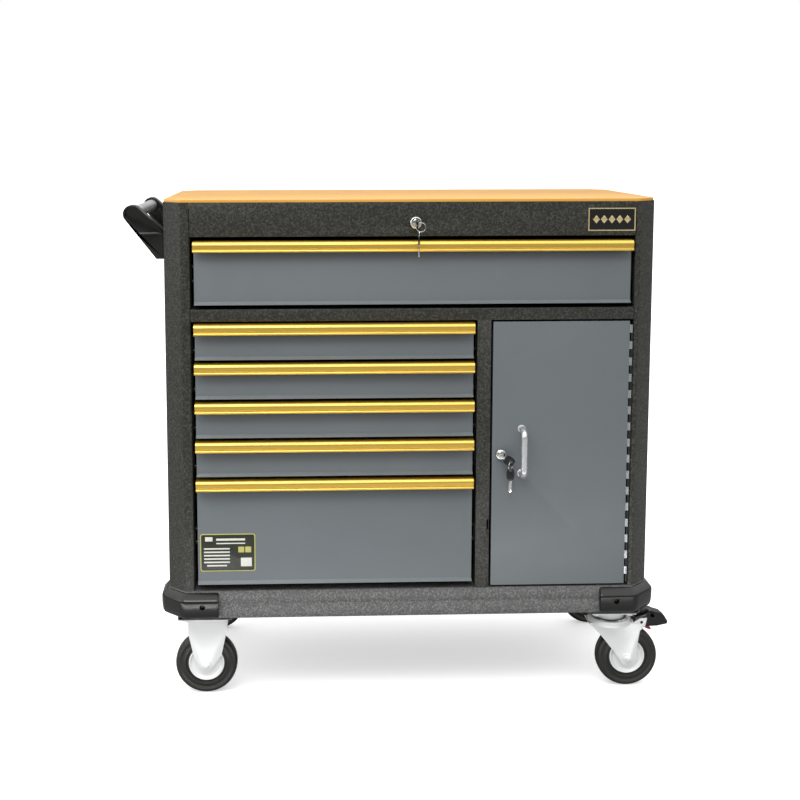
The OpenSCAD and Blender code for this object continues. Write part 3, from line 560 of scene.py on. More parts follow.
rear_flange = 24 * MM
for side, inner_x in (("left", OPEN_LEFT), ("right", 2 * MIDDLE - OPEN_RIGHT)):
    side_outline = [
        (inner_x, FRONT + 24 * MM), (inner_x, FRONT), (LEFT + CHAMFER.x, FRONT),
        (LEFT, FRONT + CHAMFER.y), (LEFT, BACK - CHAMFER.y), (LEFT + CHAMFER.x, BACK),
        (LEFT + CHAMFER.x + rear_flange, BACK),
    ]
    sheet_mesh = folded_sheet(side_outline, 4 * MM, SHEET, SIDE_LOW, SIDE_TOP)
    if side == "right":
        sheet_mesh.transform(Matrix.Translation((2 * MIDDLE, 0, 0)) @ Matrix.Scale(-1, 4, (1, 0, 0)))
        sheet_mesh.flip_normals()
    finish_piece(f"side_{side}_folded", sheet_mesh, BLACK_PAINT, "cabinet", (f"side_panel_{side}",),
                 angle=50)
print("side panels", round(SIDE_TOP - SIDE_LOW, 3), "tall")

# %% [markdown]
# ## Board top
# The board is cut to the cabinet's chamfered plan and lies in a steel rim. It is made
# from the measured board with a wide, soft edge, and a thin pale steel lip runs round
# it where the paint has been ground off and a painted edge highlight lies on it.

# %% Board and rim
def chamfered_plan(inset):
    x0, x1 = LEFT + inset, RIGHT - inset
    y0, y1 = FRONT + inset, BACK - inset
    cx, cy = CHAMFER.x - 0.59 * inset, CHAMFER.y - 0.59 * inset
    return [(x0 + cx, y0), (x1 - cx, y0), (x1, y0 + cy), (x1, y1 - cy),
            (x1 - cx, y1), (x0 + cx, y1), (x0, y1 - cy), (x0, y0 + cy)]


def prism(outline, low_z, high_z):
    count = len(outline)
    vertices = [(x, y, z) for z in (low_z, high_z) for x, y in outline]
    faces = [tuple(reversed(range(count))), tuple(range(count, 2 * count))]
    for i in range(count):
        j = (i + 1) % count
        faces.append((i, j, count + j, count + i))
    return mesh_from("prism", vertices, faces)


board_low, board_high = boxes["worktop"]
board_mesh = bevelled(prism(chamfered_plan(2 * MM), board_low.z, board_high.z), 1.6 * MM, 4)
finish_piece("worktop_board", board_mesh, BOARD, "cabinet", ("worktop",), angle=60)
print("board", [round(v, 3) for v in board_high - board_low])

# %% [markdown]
# ## Drawer pulls
# A pull is a gold extrusion: a rounded band above, a groove, and a round bead below that
# the fingers reach behind. The section is drawn once with smooth arcs and stretched to
# each drawer's width, and the cut ends get a small chamfer.

# %% Extruded pulls
def arc(cx, cz, radius, start, end, steps):
    angles = [math.radians(start + (end - start) * i / steps) for i in range(steps + 1)]
    return [(cx + radius * math.cos(a), cz + radius * math.sin(a)) for a in angles]


def pull_section(height):
    band, bead = 9.0, 2.6
    low = -height
    points = [(15.8, -0.02)]
    points += arc(-5, -band, band, 90, 184, 16)
    points += arc(-12.6, low + 8.0, 1.1, 160, 250, 4)
    points += [(-12.35, low + 6.2)]
    points += arc(-11.8, low + bead, bead, 110, 300, 16)
    points += [(-9.6, low + 5), (-10.4, low + 8), (-11.0, -band - 1)]
    points += arc(-5, -band, 6.2, 176, 92, 12)
    points += [(0.9, -2.8), (0.9, -16.9), (2.9, -16.9), (2.9, -2.2), (15.8, -2.2)]
    return [(y * MM, z * MM) for y, z in points]


def extrude_x(section, x0, x1):
    count = len(section)
    vertices = [(x, FRONT + y, z) for x in (x0, x1) for y, z in section]
    faces = [tuple(range(count)), tuple(reversed(range(count, 2 * count)))]
    for i in range(count):
        j = (i + 1) % count
        faces.append((j, i, count + i, count + j))
    return mesh_from("extrusion", vertices, faces)


for number in range(1, 7):
    low, high = boxes[f"drawer_{number}_pull"]
    section = [(y, high.z + z) for y, z in pull_section((high.z - low.z) / MM)]
    pull_mesh = bevelled(extrude_x(section, low.x, high.x), 0.25 * MM, 1, angle=50)
    finish_piece(f"drawer_{number}_gold_pull", pull_mesh, GOLD, f"drawer_{number}",
                 (f"drawer_{number}_pull",))
print("pull height", round((high.z - low.z) / MM, 1), "mm")

# %% [markdown]
# ## Wheels
# Hub, tyre and lock parts are turned shapes. `lathe` spins a profile of radius and depth
# about the Y axis through a centre. The tyre's side has two raised rings with a shallow
# dish between them, and the dark gap by the hub is where rubber meets the steel disc.

# %% Turned shapes
def lathe(profile, centre, segments=96, axis="y", closed=True):
    count = len(profile)
    vertices = []
    for i in range(segments):
        angle = 2 * math.pi * i / segments
        c, s = math.cos(angle), math.sin(angle)
        for radius, depth in profile:
            spot = {"x": (depth, radius * c, radius * s), "y": (radius * c, depth, radius * s),
                    "z": (radius * c, radius * s, depth)}[axis]
            vertices.append(Vector(centre) + Vector(spot) * MM)
    faces = []
    last = count if closed else count - 1
    for i in range(segments):
        j = (i + 1) % segments
        for k in range(last):
            m = (k + 1) % count
            faces.append((i * count + k, j * count + k, j * count + m, i * count + m))
    return mesh_from("turned", vertices, faces)


def tyre_profile(radius, seat):
    half = [(seat, 12.6), (40.6, 12.2), (41.4, 13.4), (42.2, 15.2), (43.4, 15.7), (44.6, 15.3), (46.5, 14.2),
            (50.5, 13.9), (53.4, 14.6), (54.6, 15.5), (55.8, 15.8)]
    crown = []
    for i in range(1, 12):
        a = math.radians(90 * i / 12)
        crown.append((55.8 + (radius - 55.8) * math.sin(a) ** 0.9, 15.8 * max(math.cos(a), 0.0) ** 0.62))
    side = half + crown
    return side + [(radius, 0.0)] + [(r, -d) for r, d in reversed(side)]


def hub_profile(bore):
    side = [(36.9, 12.4), (36.4, 13.6), (35.2, 14.0), (33.6, 13.6), (32.2, 12.0), (30.6, 10.9), (28.0, 10.6),
            (16.0, 11.6), (13.4, 12.2), (12.4, 13.4), (12.0, 16.4), (11.2, 17.9), (9.6, 18.2), (bore, 18.2)]
    return side + [(r, -d) for r, d in reversed(side)]


wheels = [("front", "left"), ("rear", "left"), ("front", "right"), ("rear", "right")]
for end, side in wheels:
    low, high = boxes[f"tyre_{end}_{side}"]
    centre = (low + high) / 2
    radius = (high.z - low.z) / 2 / MM
    body = f"wheel_{end}_{side}"
    finish_piece(f"tyre_{end}_{side}_rubber", lathe(tyre_profile(radius, 37.0), centre), RUBBER, body,
                 (f"tyre_{end}_{side}",))
    finish_piece(f"hub_{end}_{side}_disc", lathe(hub_profile(6.1), centre), ZINC, body,
                 (f"hub_{end}_{side}",))
print("wheel diameter", round(2 * radius, 1), "mm")

# %% [markdown]
# ## Corner bumpers
# A bumper wraps a corner of the base: one section is swept along the chamfered corner,
# with rounded turns, and shrinks at its ends so they close softly. The face leans, the
# top is a broad bevel, and the screws sit in deep round seats that a boolean cuts.

# %% Swept bumpers
def bumper_section(height_low, height_high):
    rise = height_high - height_low
    return [(0.25, 1.0), (1.5, 1.0), (3.6, 0.985), (12.6, 0.795), (14.6, 0.765), (15.7, 0.715), (15.95, 0.64),
            (15.8, 0.45), (15.2, 0.27), (14.0, 0.12), (12.0, 0.04), (9.5, 0.005), (6.0, 0.0), (0.25, 0.0)], rise


def sweep_corner(arm_x, arm_y, low_z, high_z):
    corner = [(LEFT + arm_x, FRONT), (LEFT + CHAMFER.x, FRONT), (LEFT, FRONT + CHAMFER.y),
              (LEFT, FRONT + arm_y)]
    path = rounded_path(corner, 9 * MM, 7)
    extra = []
    for a, b in ((path[0], path[1]), (path[-1], path[-2])):
        extra.append([a + (b - a).normalized() * d * MM for d in (0.0, 0.5, 1.6, 3.4, 6.0)])
    path = extra[0] + path[1:-1] + list(reversed(extra[1]))
    shrink = [0.93, 0.965, 0.985, 0.997, 1.0]
    normals = []
    for i, point in enumerate(path):
        before = path[max(i - 1, 0)]
        after = path[min(i + 1, len(path) - 1)]
        along = (after - before).normalized()
        normals.append(Vector((-along.y, along.x)))
    section, rise = bumper_section(low_z, high_z)
    rows = []
    for i, point in enumerate(path):
        reach = min(i, len(path) - 1 - i)
        scale = shrink[reach] if reach < len(shrink) else 1.0
        middle = 0.5
        row = []
        for out, level in section:
            out_here = 0.25 + (out - 0.25) * (scale if reach else scale - 0.06)
            level_here = middle + (level - middle) * scale
            spot = point + normals[i] * out_here * MM
            row.append((spot.x, spot.y, low_z + level_here * rise))
        rows.append(row)
    count = len(section)
    vertices = [v for row in rows for v in row]
    faces = [tuple(range(count)), tuple(reversed(range((len(rows) - 1) * count, len(rows) * count)))]
    for i in range(len(rows) - 1):
        for k in range(count):
            m = (k + 1) % count
            faces.append((i * count + k, i * count + m, (i + 1) * count + m, (i + 1) * count + k))
    return mesh_from("bumper", vertices, faces)


bumper_low, bumper_high = boxes["corner_bumpers"]
screw_low, screw_high = boxes["bumper_screws"]
SCREW_Z = (screw_low.z + screw_high.z) / 2
FRONT_SCREW_X = LEFT + 70 * MM
SIDE_SCREW_Y = FRONT + 62 * MM


def cut_seats(mesh, spots):
    for spot, along in spots:
        well = [(0.01, -20.0), (5.6, -20.0), (5.6, -6.0), (4.9, -5.2), (0.01, -5.2)]
        cutter_mesh = lathe(well, (0, 0, 0), 32)
        turn = Vector((0, 1, 0)).rotation_difference(Vector(along)).to_matrix().to_4x4()
        cutter_mesh.transform(Matrix.Translation(spot) @ turn)
        cutter = bpy.data.objects.new("cutter", cutter_mesh)
        bpy.context.scene.collection.objects.link(cutter)
        holder = bpy.data.objects.new("holder", mesh)
        bpy.context.scene.collection.objects.link(holder)
        cut = holder.modifiers.new("seat", "BOOLEAN")
        cut.operation = "DIFFERENCE"
        cut.solver = "EXACT"
        cut.object = cutter
        mesh = evaluated(holder)
        bpy.data.objects.remove(cutter)
    return mesh


one_bumper = sweep_corner(102 * MM, 90 * MM, bumper_low.z, bumper_high.z)
one_bumper = cut_seats(one_bumper, [
    (Vector((FRONT_SCREW_X, FRONT, SCREW_Z)), (0, 1, 0)),
    (Vector((LEFT, SIDE_SCREW_Y, SCREW_Z)), (1, 0, 0)),
])
bumpers = []
MID_Y = (FRONT + BACK) / 2
for flip_x in (1, -1):
    for flip_y in (1, -1):
        copy = one_bumper.copy()
        about = Matrix.Translation((MIDDLE, MID_Y, 0))
        mirror = Matrix.Diagonal((flip_x, flip_y, 1, 1))
        copy.transform(about @ mirror @ about.inverted())
        if flip_x * flip_y < 0:
            copy.flip_normals()
        bumpers.append(copy)
finish_piece("corner_bumper_set", merged(*bumpers), BLACK_PLASTIC, "cabinet", ("corner_bumpers",), angle=38)
print("bumpers", len(bumpers), "height", round((bumper_high.z - bumper_low.z) / MM, 1), "mm")

# %% [markdown]
# ## Push handle
# Two moulded brackets hold a satin tube. The brackets are the measured ones with soft
# edges, and the tube is turned with a little chamfer inside its sockets.

# %% Push handle
dress("handle_brackets", BLACK_PLASTIC, 1.6 * MM, 3)
low, high = boxes["handle_tube"]
centre = (low + high) / 2
half_length = (high.y - low.y) / 2 / MM
tube_r = (high.z - low.z) / 2 / MM
tube_profile = [(tube_r - 1.5, -half_length), (tube_r, -half_length), (tube_r, half_length),
                (tube_r - 1.5, half_length)]
finish_piece("push_handle_tube", lathe(tube_profile, centre, 64), TUBE, "cabinet", ("handle_tube",))
print("tube length", round(2 * half_length), "mm")

# %% [markdown]
# ## Bow handle, rings and wires
# A bar that follows a path is swept with a round section. The frame along the path is
# carried from point to point, so it never flips. The bow ends in two small round feet.

# %% Swept round bars
def round_bar(path, radius, segments=16, closed=False):
    path = [Vector(p) for p in path]
    count = len(path)
    tangents = []
    for i in range(count):
        before = path[(i - 1) % count] if closed else path[max(i - 1, 0)]
        after = path[(i + 1) % count] if closed else path[min(i + 1, count - 1)]
        tangents.append((after - before).normalized())
    side = tangents[0].orthogonal().normalized()
    vertices = []
    for i, point in enumerate(path):
        side = (side - tangents[i] * side.dot(tangents[i])).normalized()
        other = tangents[i].cross(side)
        for k in range(segments):
            a = 2 * math.pi * k / segments
            vertices.append(point + (side * math.cos(a) + other * math.sin(a)) * radius)
    faces = []
    for i in range(count if closed else count - 1):
        j = (i + 1) % count
        for k in range(segments):
            m = (k + 1) % segments
            faces.append((i * segments + k, i * segments + m, j * segments + m, j * segments + k))
    if not closed:
        faces.append(tuple(reversed(range(segments))))
        faces.append(tuple(range((count - 1) * segments, count * segments)))
    return mesh_from("bar", vertices, faces)


low, high = boxes["door_handle"]
bow_x = (low.x + high.x) / 2
bow_r = (high.x - low.x) / 2
grip_y = low.y + bow_r
bend = 14 * MM
path = [Vector((bow_x, FRONT - 0.2 * MM, low.z + bow_r))]
for i in range(11):
    a = math.radians(9 * i)
    path.append(Vector((bow_x, grip_y + bend * (1 - math.sin(a)),
                        low.z + bow_r + bend * (1 - math.cos(a)))))
for i in range(11):
    a = math.radians(90 - 9 * i)
    path.append(Vector((bow_x, grip_y + bend * (1 - math.sin(a)),
                        high.z - bow_r - bend * (1 - math.cos(a)))))
path.append(Vector((bow_x, FRONT - 0.2 * MM, high.z - bow_r)))
bow = round_bar(path, bow_r, 28)
feet = []
for z in (low.z + bow_r, high.z - bow_r):
    foot_profile = [(0.01, 0.0), (8.4, 0.0), (8.4, -0.9), (7.7, -1.7), (6.0, -2.0), (0.01, -2.0)]
    feet.append(lathe(foot_profile, (bow_x, FRONT, z), 32))
finish_piece("door_bow_handle", merged(bow, *feet), HANDLE_METAL, "door", ("door_handle",))
print("bow span", round((high.z - low.z) / MM), "mm")

# %% [markdown]
# ## Locks and keys
# Each lock is a turned barrel with a rounded flange and a plug with a key slot. The keys
# are thin blades with bitting and black moulded heads with a hole for the wire ring.

# %% Lock barrels and plugs
def lock_pieces(node_barrel, node_plug, centre, flange_r):
    barrel = [(6.1, 24.0), (9.4, 24.0), (9.4, -0.4), (flange_r, -0.4), (flange_r, -3.6), (flange_r - 0.9, -5.6),
              (flange_r - 2.4, -6.8), (7.6, -7.0), (7.0, -6.6), (6.1, -6.2)]
    finish_piece(node_barrel + "_turned", lathe(barrel, centre, 64), CHROME, body_of_node[node_barrel],
                 (node_barrel,))
    plug = frame["nodes"][node_plug].data.copy()
    work = bmesh.new()
    work.from_mesh(plug)
    bmesh.ops.remove_doubles(work, verts=work.verts, dist=2e-6)
    bmesh.ops.dissolve_limit(work, angle_limit=math.radians(0.6), verts=work.verts, edges=work.edges)
    work.to_mesh(plug)
    work.free()
    finish_piece(node_plug + "_turned", bevelled(plug, 0.5 * MM), CHROME, body_of_node[node_plug],
                 (node_plug,))


def lock_centre(joint):
    spot = joint_at[joint]
    return Vector((spot.x, FRONT, spot.z))


TOP_LOCK = lock_centre("top_lock_turn")
DOOR_LOCK = lock_centre("door_lock_turn")
lock_pieces("top_lock_barrel", "top_lock_plug", TOP_LOCK, 12.5)
lock_pieces("door_lock_barrel", "door_lock_plug", DOOR_LOCK, 11.0)
print("locks at", [round(v, 3) for v in TOP_LOCK], [round(v, 3) for v in DOOR_LOCK])


# %% Keys
def plate(outline, thickness, edge=0.4 * MM):
    count = len(outline)
    vertices = [(x * MM, s * thickness * MM / 2, z * MM) for s in (-1, 1) for x, z in outline]
    faces = [tuple(range(count)), tuple(reversed(range(count, 2 * count)))]
    for i in range(count):
        j = (i + 1) % count
        faces.append((i, count + i, count + j, j))
    return bevelled(mesh_from("plate", vertices, faces), edge, 2)


def head_with_hole(outer, hole, thickness, edge=0.5 * MM):
    count = len(outer)
    vertices = []
    for s in (-1, 1):
        for loop in (outer, hole):
            vertices += [(x * MM, s * thickness * MM / 2, z * MM) for x, z in loop]
    faces = []
    for i in range(count):
        j = (i + 1) % count
        faces.append((i, j, count + j, count + i))
        faces.append((2 * count + j, 2 * count + i, 3 * count + i, 3 * count + j))
        faces.append((j, i, 2 * count + i, 2 * count + j))
        faces.append((count + i, count + j, 3 * count + j, 3 * count + i))
    return bevelled(mesh_from("head", vertices, faces), edge, 2)


def oval(width, height, cx=0.0, cz=0.0, power=2.6, count=40):
    loop = []
    for i in range(count):
        a = 2 * math.pi * i / count
        c, s = math.cos(a), math.sin(a)
        loop.append((cx + width / 2 * math.copysign(abs(c) ** (2 / power), c),
                     cz + height / 2 * math.copysign(abs(s) ** (2 / power), s)))
    return loop


def blade(length, width, thickness):
    notches = [(width / 2, 0.0), (width / 2, -length * 0.22)]
    depths = [0.9, 0.3, 1.3, 0.6, 1.1, 0.2]
    for i, depth in enumerate(depths):
        z = -length * (0.3 + 0.1 * i)
        notches += [(width / 2 - depth, z), (width / 2 - depth, z - 0.6)]
    notches += [(width / 2 - 1.0, -length * 0.95), (0.0, -length), (-width / 2 + 0.8, -length * 0.95),
                (-width / 2, -length * 0.88), (-width / 2, 0.0)]
    return plate(notches, thickness, 0.2 * MM)


def wire_ring(centre, radius, wire_r, turn):
    path = []
    along = Vector((math.cos(math.radians(turn)), math.sin(math.radians(turn)), 0))
    for i in range(40):
        a = 2 * math.pi * i / 40
        path.append(centre + along * radius * math.cos(a) + Vector((0, 0, radius * math.sin(a))))
    return round_bar(path, wire_r, 10, closed=True)


def placed(mesh, centre, turn_z=0.0, turn_y=0.0):
    turn = Matrix.Rotation(math.radians(turn_y), 4, "Y") @ Matrix.Rotation(math.radians(turn_z), 4, "Z")
    mesh.transform(Matrix.Translation(centre) @ turn)
    return mesh


# the key in the top lock stands edge on, and its ring and spare key hang to the right
top_head = head_with_hole(oval(24, 20), oval(8.4, 8.4, -7, 0, 2.0), 3.2)
top_head.transform(Matrix.Rotation(math.radians(90), 4, "Z"))
finish_piece("top_key_head", placed(top_head, TOP_LOCK + Vector((0, -24 * MM, 0))), KEY_PLASTIC, "top_plug",
             ("top_key",))
top_stem = plate([(-3.4, 2), (-3.4, -9), (3.4, -9), (3.4, 2)], 2.0)
top_stem.transform(Matrix.Rotation(math.radians(-90), 4, "X"))
top_stem.transform(Matrix.Rotation(math.radians(90), 4, "Y"))
finish_piece("top_key_stem", placed(top_stem, TOP_LOCK + Vector((0, -14.5 * MM, 0))), CHROME, "top_plug",
             slot="chrome_steel")
ring_at = TOP_LOCK + Vector((7 * MM, -31 * MM, -7 * MM))
ring = wire_ring(ring_at, 9 * MM, 0.7 * MM, 0)
link_at = ring_at + Vector((-3.5 * MM, 0, -12.5 * MM))
link = wire_ring(link_at, 5.2 * MM, 0.6 * MM, 90)
finish_piece("top_key_ring", merged(ring, link), CHROME, "cabinet", slot="chrome_steel")
spare_head = head_with_hole(oval(16, 21), oval(6.0, 6.0, 0, 6.0, 2.0), 3.0)
spare_head.transform(Matrix.Rotation(math.radians(82), 4, "Z"))
spare_at = link_at + Vector((0, 1.4 * MM, -11 * MM))
finish_piece("top_spare_head", placed(spare_head, spare_at), KEY_PLASTIC, "cabinet", slot="key_plastic")
spare_blade = blade(26, 6.4, 1.9)
spare_blade.transform(Matrix.Rotation(math.radians(82), 4, "Z"))
finish_piece("top_spare_blade", placed(spare_blade, spare_at + Vector((0, 0, -9.5 * MM))), CHROME, "cabinet",
             slot="chrome_steel")
print("top keys at", [round(v, 3) for v in spare_at])

# %% Keys of the door
PIVOT = joint_at["spare_key_swing"]
door_head = head_with_hole(oval(22, 19, 17.6, 0, 3.0), oval(6.4, 6.4, 20.8, 0, 2.0), 4.0)
head_turn = math.degrees(math.atan2(DOOR_LOCK.z - PIVOT.z, PIVOT.x - DOOR_LOCK.x))
door_head = placed(door_head, DOOR_LOCK + Vector((0, -18 * MM, 0)), turn_y=head_turn)
finish_piece("door_key_head", door_head, KEY_PLASTIC, "door_plug", ("door_key",))
door_stem = plate([(-3.4, -1.2), (3.4, -1.2), (3.4, 1.2), (-3.4, 1.2)], 8.0, 0.3 * MM)
door_neck = plate([(-3.4, -2.6), (9.0, -2.6), (9.0, 2.6), (-3.4, 2.6)], 2.6, 0.4 * MM)
placed(door_stem, DOOR_LOCK + Vector((0, -12.4 * MM, 0)))
placed(door_neck, DOOR_LOCK + Vector((0, -17.6 * MM, 0)), turn_y=head_turn)
finish_piece("door_key_stem", merged(door_stem, door_neck), CHROME, "door_plug", slot="chrome_steel")
ring_centre = Vector((PIVOT.x, FRONT - 18 * MM, PIVOT.z - 8 * MM))
door_ring = wire_ring(ring_centre, 9 * MM, 0.75 * MM, 58)
finish_piece("door_key_ring", door_ring, CHROME, "door_spare", slot="chrome_steel")
door_spare_head = head_with_hole(oval(16, 25), oval(6.0, 6.0, 0, 8.0, 2.0), 3.4)
door_spare_at = ring_centre + Vector((0, 0, -17.2 * MM))
finish_piece("door_spare_head", placed(door_spare_head, door_spare_at), KEY_PLASTIC, "door_spare",
             ("door_spare_key",))
door_blade = blade(26, 6.4, 2.0)
finish_piece("door_spare_blade", placed(door_blade, door_spare_at + Vector((0, 0, -11.5 * MM))), CHROME,
             "door_spare", slot="chrome_steel")
print("door keys hang from", [round(v, 3) for v in PIVOT])

# %% [markdown]
# ## Badge and data plate
# The badge is a black plate in a pale frame with a row of lozenges, and the data plate is
# a sticker with a rounded border and blocks. Both are thin and lie on their panels.

# %% Badge
def slab(x0, x1, y0, y1, z0, z1):
    return prism([(x0, y0), (x1, y0), (x1, y1), (x0, y1)], z0, z1)


low, high = boxes["badge_plate"]
rim = 2.2 * MM
field = bevelled(slab(low.x, high.x, FRONT - 1.0 * MM, FRONT, low.z, high.z), 0.2 * MM, 1)
finish_piece("badge_field", field, PLATE_BLACK, "cabinet", ("badge_plate",))
bars = [
    slab(low.x, high.x, low.y, FRONT - 0.9 * MM, high.z - rim, high.z),
    slab(low.x, high.x, low.y, FRONT - 0.9 * MM, low.z, low.z + rim),
    slab(low.x, low.x + rim, low.y, FRONT - 0.9 * MM, low.z + rim, high.z - rim),
    slab(high.x - rim, high.x, low.y, FRONT - 0.9 * MM, low.z + rim, high.z - rim),
]
badge_mid = (low + high) / 2
for i in range(-2, 3):
    lozenge = plate([(-7.0, 0), (0, -8.0), (7.0, 0), (0, 8.0)], 0.5, 0.15 * MM)
    bars.append(placed(lozenge, Vector((badge_mid.x + i * 15.5 * MM, FRONT - 1.2 * MM, badge_mid.z))))
finish_piece("badge_frame", merged(*bars), PLATE_GOLD, "cabinet", slot="badge_black")
print("badge", round((high.x - low.x) / MM), "mm wide")


# %% Data plate
def round_rect(width, height, radius, steps=6):
    points = []
    for cx, cz, start in ((1, 1, 0), (-1, 1, 90), (-1, -1, 180), (1, -1, 270)):
        for i in range(steps + 1):
            a = math.radians(start + 90 * i / steps)
            points.append((cx * (width / 2 - radius) + radius * math.cos(a),
                           cz * (height / 2 - radius) + radius * math.sin(a)))
    return points


tray_low = boxes["drawer_6_tray"][0]
face_y = FRONT + 3 * MM
plate_at = Vector((LEFT + 121.5 * MM, face_y, tray_low.z + 64.5 * MM))
label_parts = [
    ("data_plate_border", [(0, 0, 111, 78, 5.0)], 0.16, PLATE_OLIVE),
    ("data_plate_field", [(0, 0, 107, 74, 3.6)], 0.28, PLATE_DARK),
    ("data_plate_blocks", [(-38, 28, 15, 9, 1.0), (6, 27, 58, 4.4, 0.6), (6, 19, 58, 2.4, 0.4),
                           (-22, 8, 52, 3.0, 0.4), (-22, 1, 52, 3.0, 0.4), (-22, -6, 52, 3.0, 0.4),
                           (-22, -13, 52, 3.0, 0.4), (-22, -20, 52, 3.0, 0.4), (-22, -27, 40, 3.0, 0.4),
                           (37, -20, 22, 18, 0.8)], 0.36, PLATE_PALE),
    ("data_plate_marks", [(27, 6, 12, 12, 1.0), (41, 6, 12, 12, 1.0)], 0.38, PLATE_OLIVE),
]
for name, blocks, lift, material in label_parts:
    parts = []
    for x, z, width, height, radius in blocks:
        piece = plate(round_rect(width, height, radius), 0.12, 0.03 * MM)
        parts.append(placed(piece, plate_at + Vector((x * MM, -lift * MM, z * MM))))
    finish_piece(name, merged(*parts), material, "drawer_6", slot="badge_black")
print("data plate at", [round(v, 3) for v in plate_at])

# %% [markdown]
# ## Fasteners by Geometry Nodes
# Screws, rivets and hinge pins repeat in many places. One tree puts a head on each vertex
# of a small guide mesh and turns it to the vertex's `aim`. The head is a low cylinder with
# a smaller cylinder on it for the dome, and two crossed dark bars on its top stand for the recess as painted shade.

# %% The fastener tree
def node_tree(name, sockets):
    tree = bpy.data.node_groups.new(name, "GeometryNodeTree")
    tree.interface.new_socket("Geometry", in_out="INPUT", socket_type="NodeSocketGeometry")
    keys = {}
    for label, kind, default in sockets:
        socket = tree.interface.new_socket(label, in_out="INPUT", socket_type=kind)
        if default is not None:
            socket.default_value = default
        keys[label] = socket.identifier
    tree.interface.new_socket("Geometry", in_out="OUTPUT", socket_type="NodeSocketGeometry")
    return tree, keys, add(tree, "NodeGroupInput"), add(tree, "NodeGroupOutput")


screw_tree, screw_keys, source, sink = node_tree("fasteners", [
    ("Head radius", "NodeSocketFloat", 0.004), ("Head height", "NodeSocketFloat", 0.002),
    ("Sides", "NodeSocketInt", 20), ("Recess", "NodeSocketFloat", 0.0),
    ("Metal", "NodeSocketMaterial", None), ("Dark", "NodeSocketMaterial", None),
])


def gn_math(tree, operation, a, b):
    node = add(tree, "ShaderNodeMath", operation=operation)
    for i, value in enumerate((a, b)):
        if isinstance(value, (int, float)):
            node.inputs[i].default_value = value
        else:
            wire(tree, value, node.inputs[i])
    return node.outputs[0]


def head_stage(radius_share, height_share, lift_share):
    body = add(screw_tree, "GeometryNodeMeshCylinder")
    wire(screw_tree, source.outputs["Sides"], body.inputs["Vertices"])
    wire(screw_tree, gn_math(screw_tree, "MULTIPLY", source.outputs["Head radius"], radius_share),
         body.inputs["Radius"])
    wire(screw_tree, gn_math(screw_tree, "MULTIPLY", source.outputs["Head height"], height_share),
         body.inputs["Depth"])
    shift = add(screw_tree, "GeometryNodeTransform")
    offset = add(screw_tree, "ShaderNodeCombineXYZ")
    wire(screw_tree, gn_math(screw_tree, "MULTIPLY", source.outputs["Head height"], lift_share),
         offset.inputs["Z"])
    wire(screw_tree, body.outputs["Mesh"], shift.inputs["Geometry"])
    wire(screw_tree, offset.outputs[0], shift.inputs["Translation"])
    paint = add(screw_tree, "GeometryNodeSetMaterial")
    wire(screw_tree, shift.outputs[0], paint.inputs["Geometry"])
    wire(screw_tree, source.outputs["Metal"], paint.inputs["Material"])
    return paint.outputs[0]


# a flat dark bar laid on the head's top: painted shade standing for the recess
def painted_recess_shade_bar(turn):
    bar = add(screw_tree, "GeometryNodeMeshCube")
    size = add(screw_tree, "ShaderNodeCombineXYZ")
    wire(screw_tree, gn_math(screw_tree, "MULTIPLY", source.outputs["Recess"], 1.0), size.inputs["X"])
    wire(screw_tree, gn_math(screw_tree, "MULTIPLY", source.outputs["Recess"], 0.22), size.inputs["Y"])
    wire(screw_tree, gn_math(screw_tree, "MULTIPLY", source.outputs["Head height"], 0.06), size.inputs["Z"])
    wire(screw_tree, size.outputs[0], bar.inputs["Size"])
    shift = add(screw_tree, "GeometryNodeTransform")
    shift.inputs["Rotation"].default_value = (0.0, 0.0, math.radians(turn))
    offset = add(screw_tree, "ShaderNodeCombineXYZ")
    wire(screw_tree, gn_math(screw_tree, "MULTIPLY", source.outputs["Head height"], 1.0), offset.inputs["Z"])
    wire(screw_tree, bar.outputs["Mesh"], shift.inputs["Geometry"])
    wire(screw_tree, offset.outputs[0], shift.inputs["Translation"])
    paint = add(screw_tree, "GeometryNodeSetMaterial")
    wire(screw_tree, shift.outputs[0], paint.inputs["Geometry"])
    wire(screw_tree, source.outputs["Dark"], paint.inputs["Material"])
    return paint.outputs[0]


gather = add(screw_tree, "GeometryNodeJoinGeometry")
for part in (head_stage(1.0, 0.62, 0.31), head_stage(0.86, 0.4, 0.64), head_stage(0.66, 0.3, 0.85),
             painted_recess_shade_bar(45), painted_recess_shade_bar(-45)):
    wire(screw_tree, part, gather.inputs[0])
aim = add(screw_tree, "GeometryNodeInputNamedAttribute", data_type="FLOAT_VECTOR")
aim.inputs["Name"].default_value = "aim"
turn_to = add(screw_tree, "FunctionNodeAlignRotationToVector", axis="Z")
wire(screw_tree, aim.outputs["Attribute"], turn_to.inputs["Vector"])
scatter = add(screw_tree, "GeometryNodeInstanceOnPoints")
wire(screw_tree, source.outputs["Geometry"], scatter.inputs["Points"])
wire(screw_tree, gather.outputs[0], scatter.inputs["Instance"])
wire(screw_tree, turn_to.outputs["Rotation"], scatter.inputs["Rotation"])
real = add(screw_tree, "GeometryNodeRealizeInstances")
wire(screw_tree, scatter.outputs[0], real.inputs[0])
wire(screw_tree, real.outputs[0], sink.inputs[0])
print("fastener inputs", list(screw_keys))


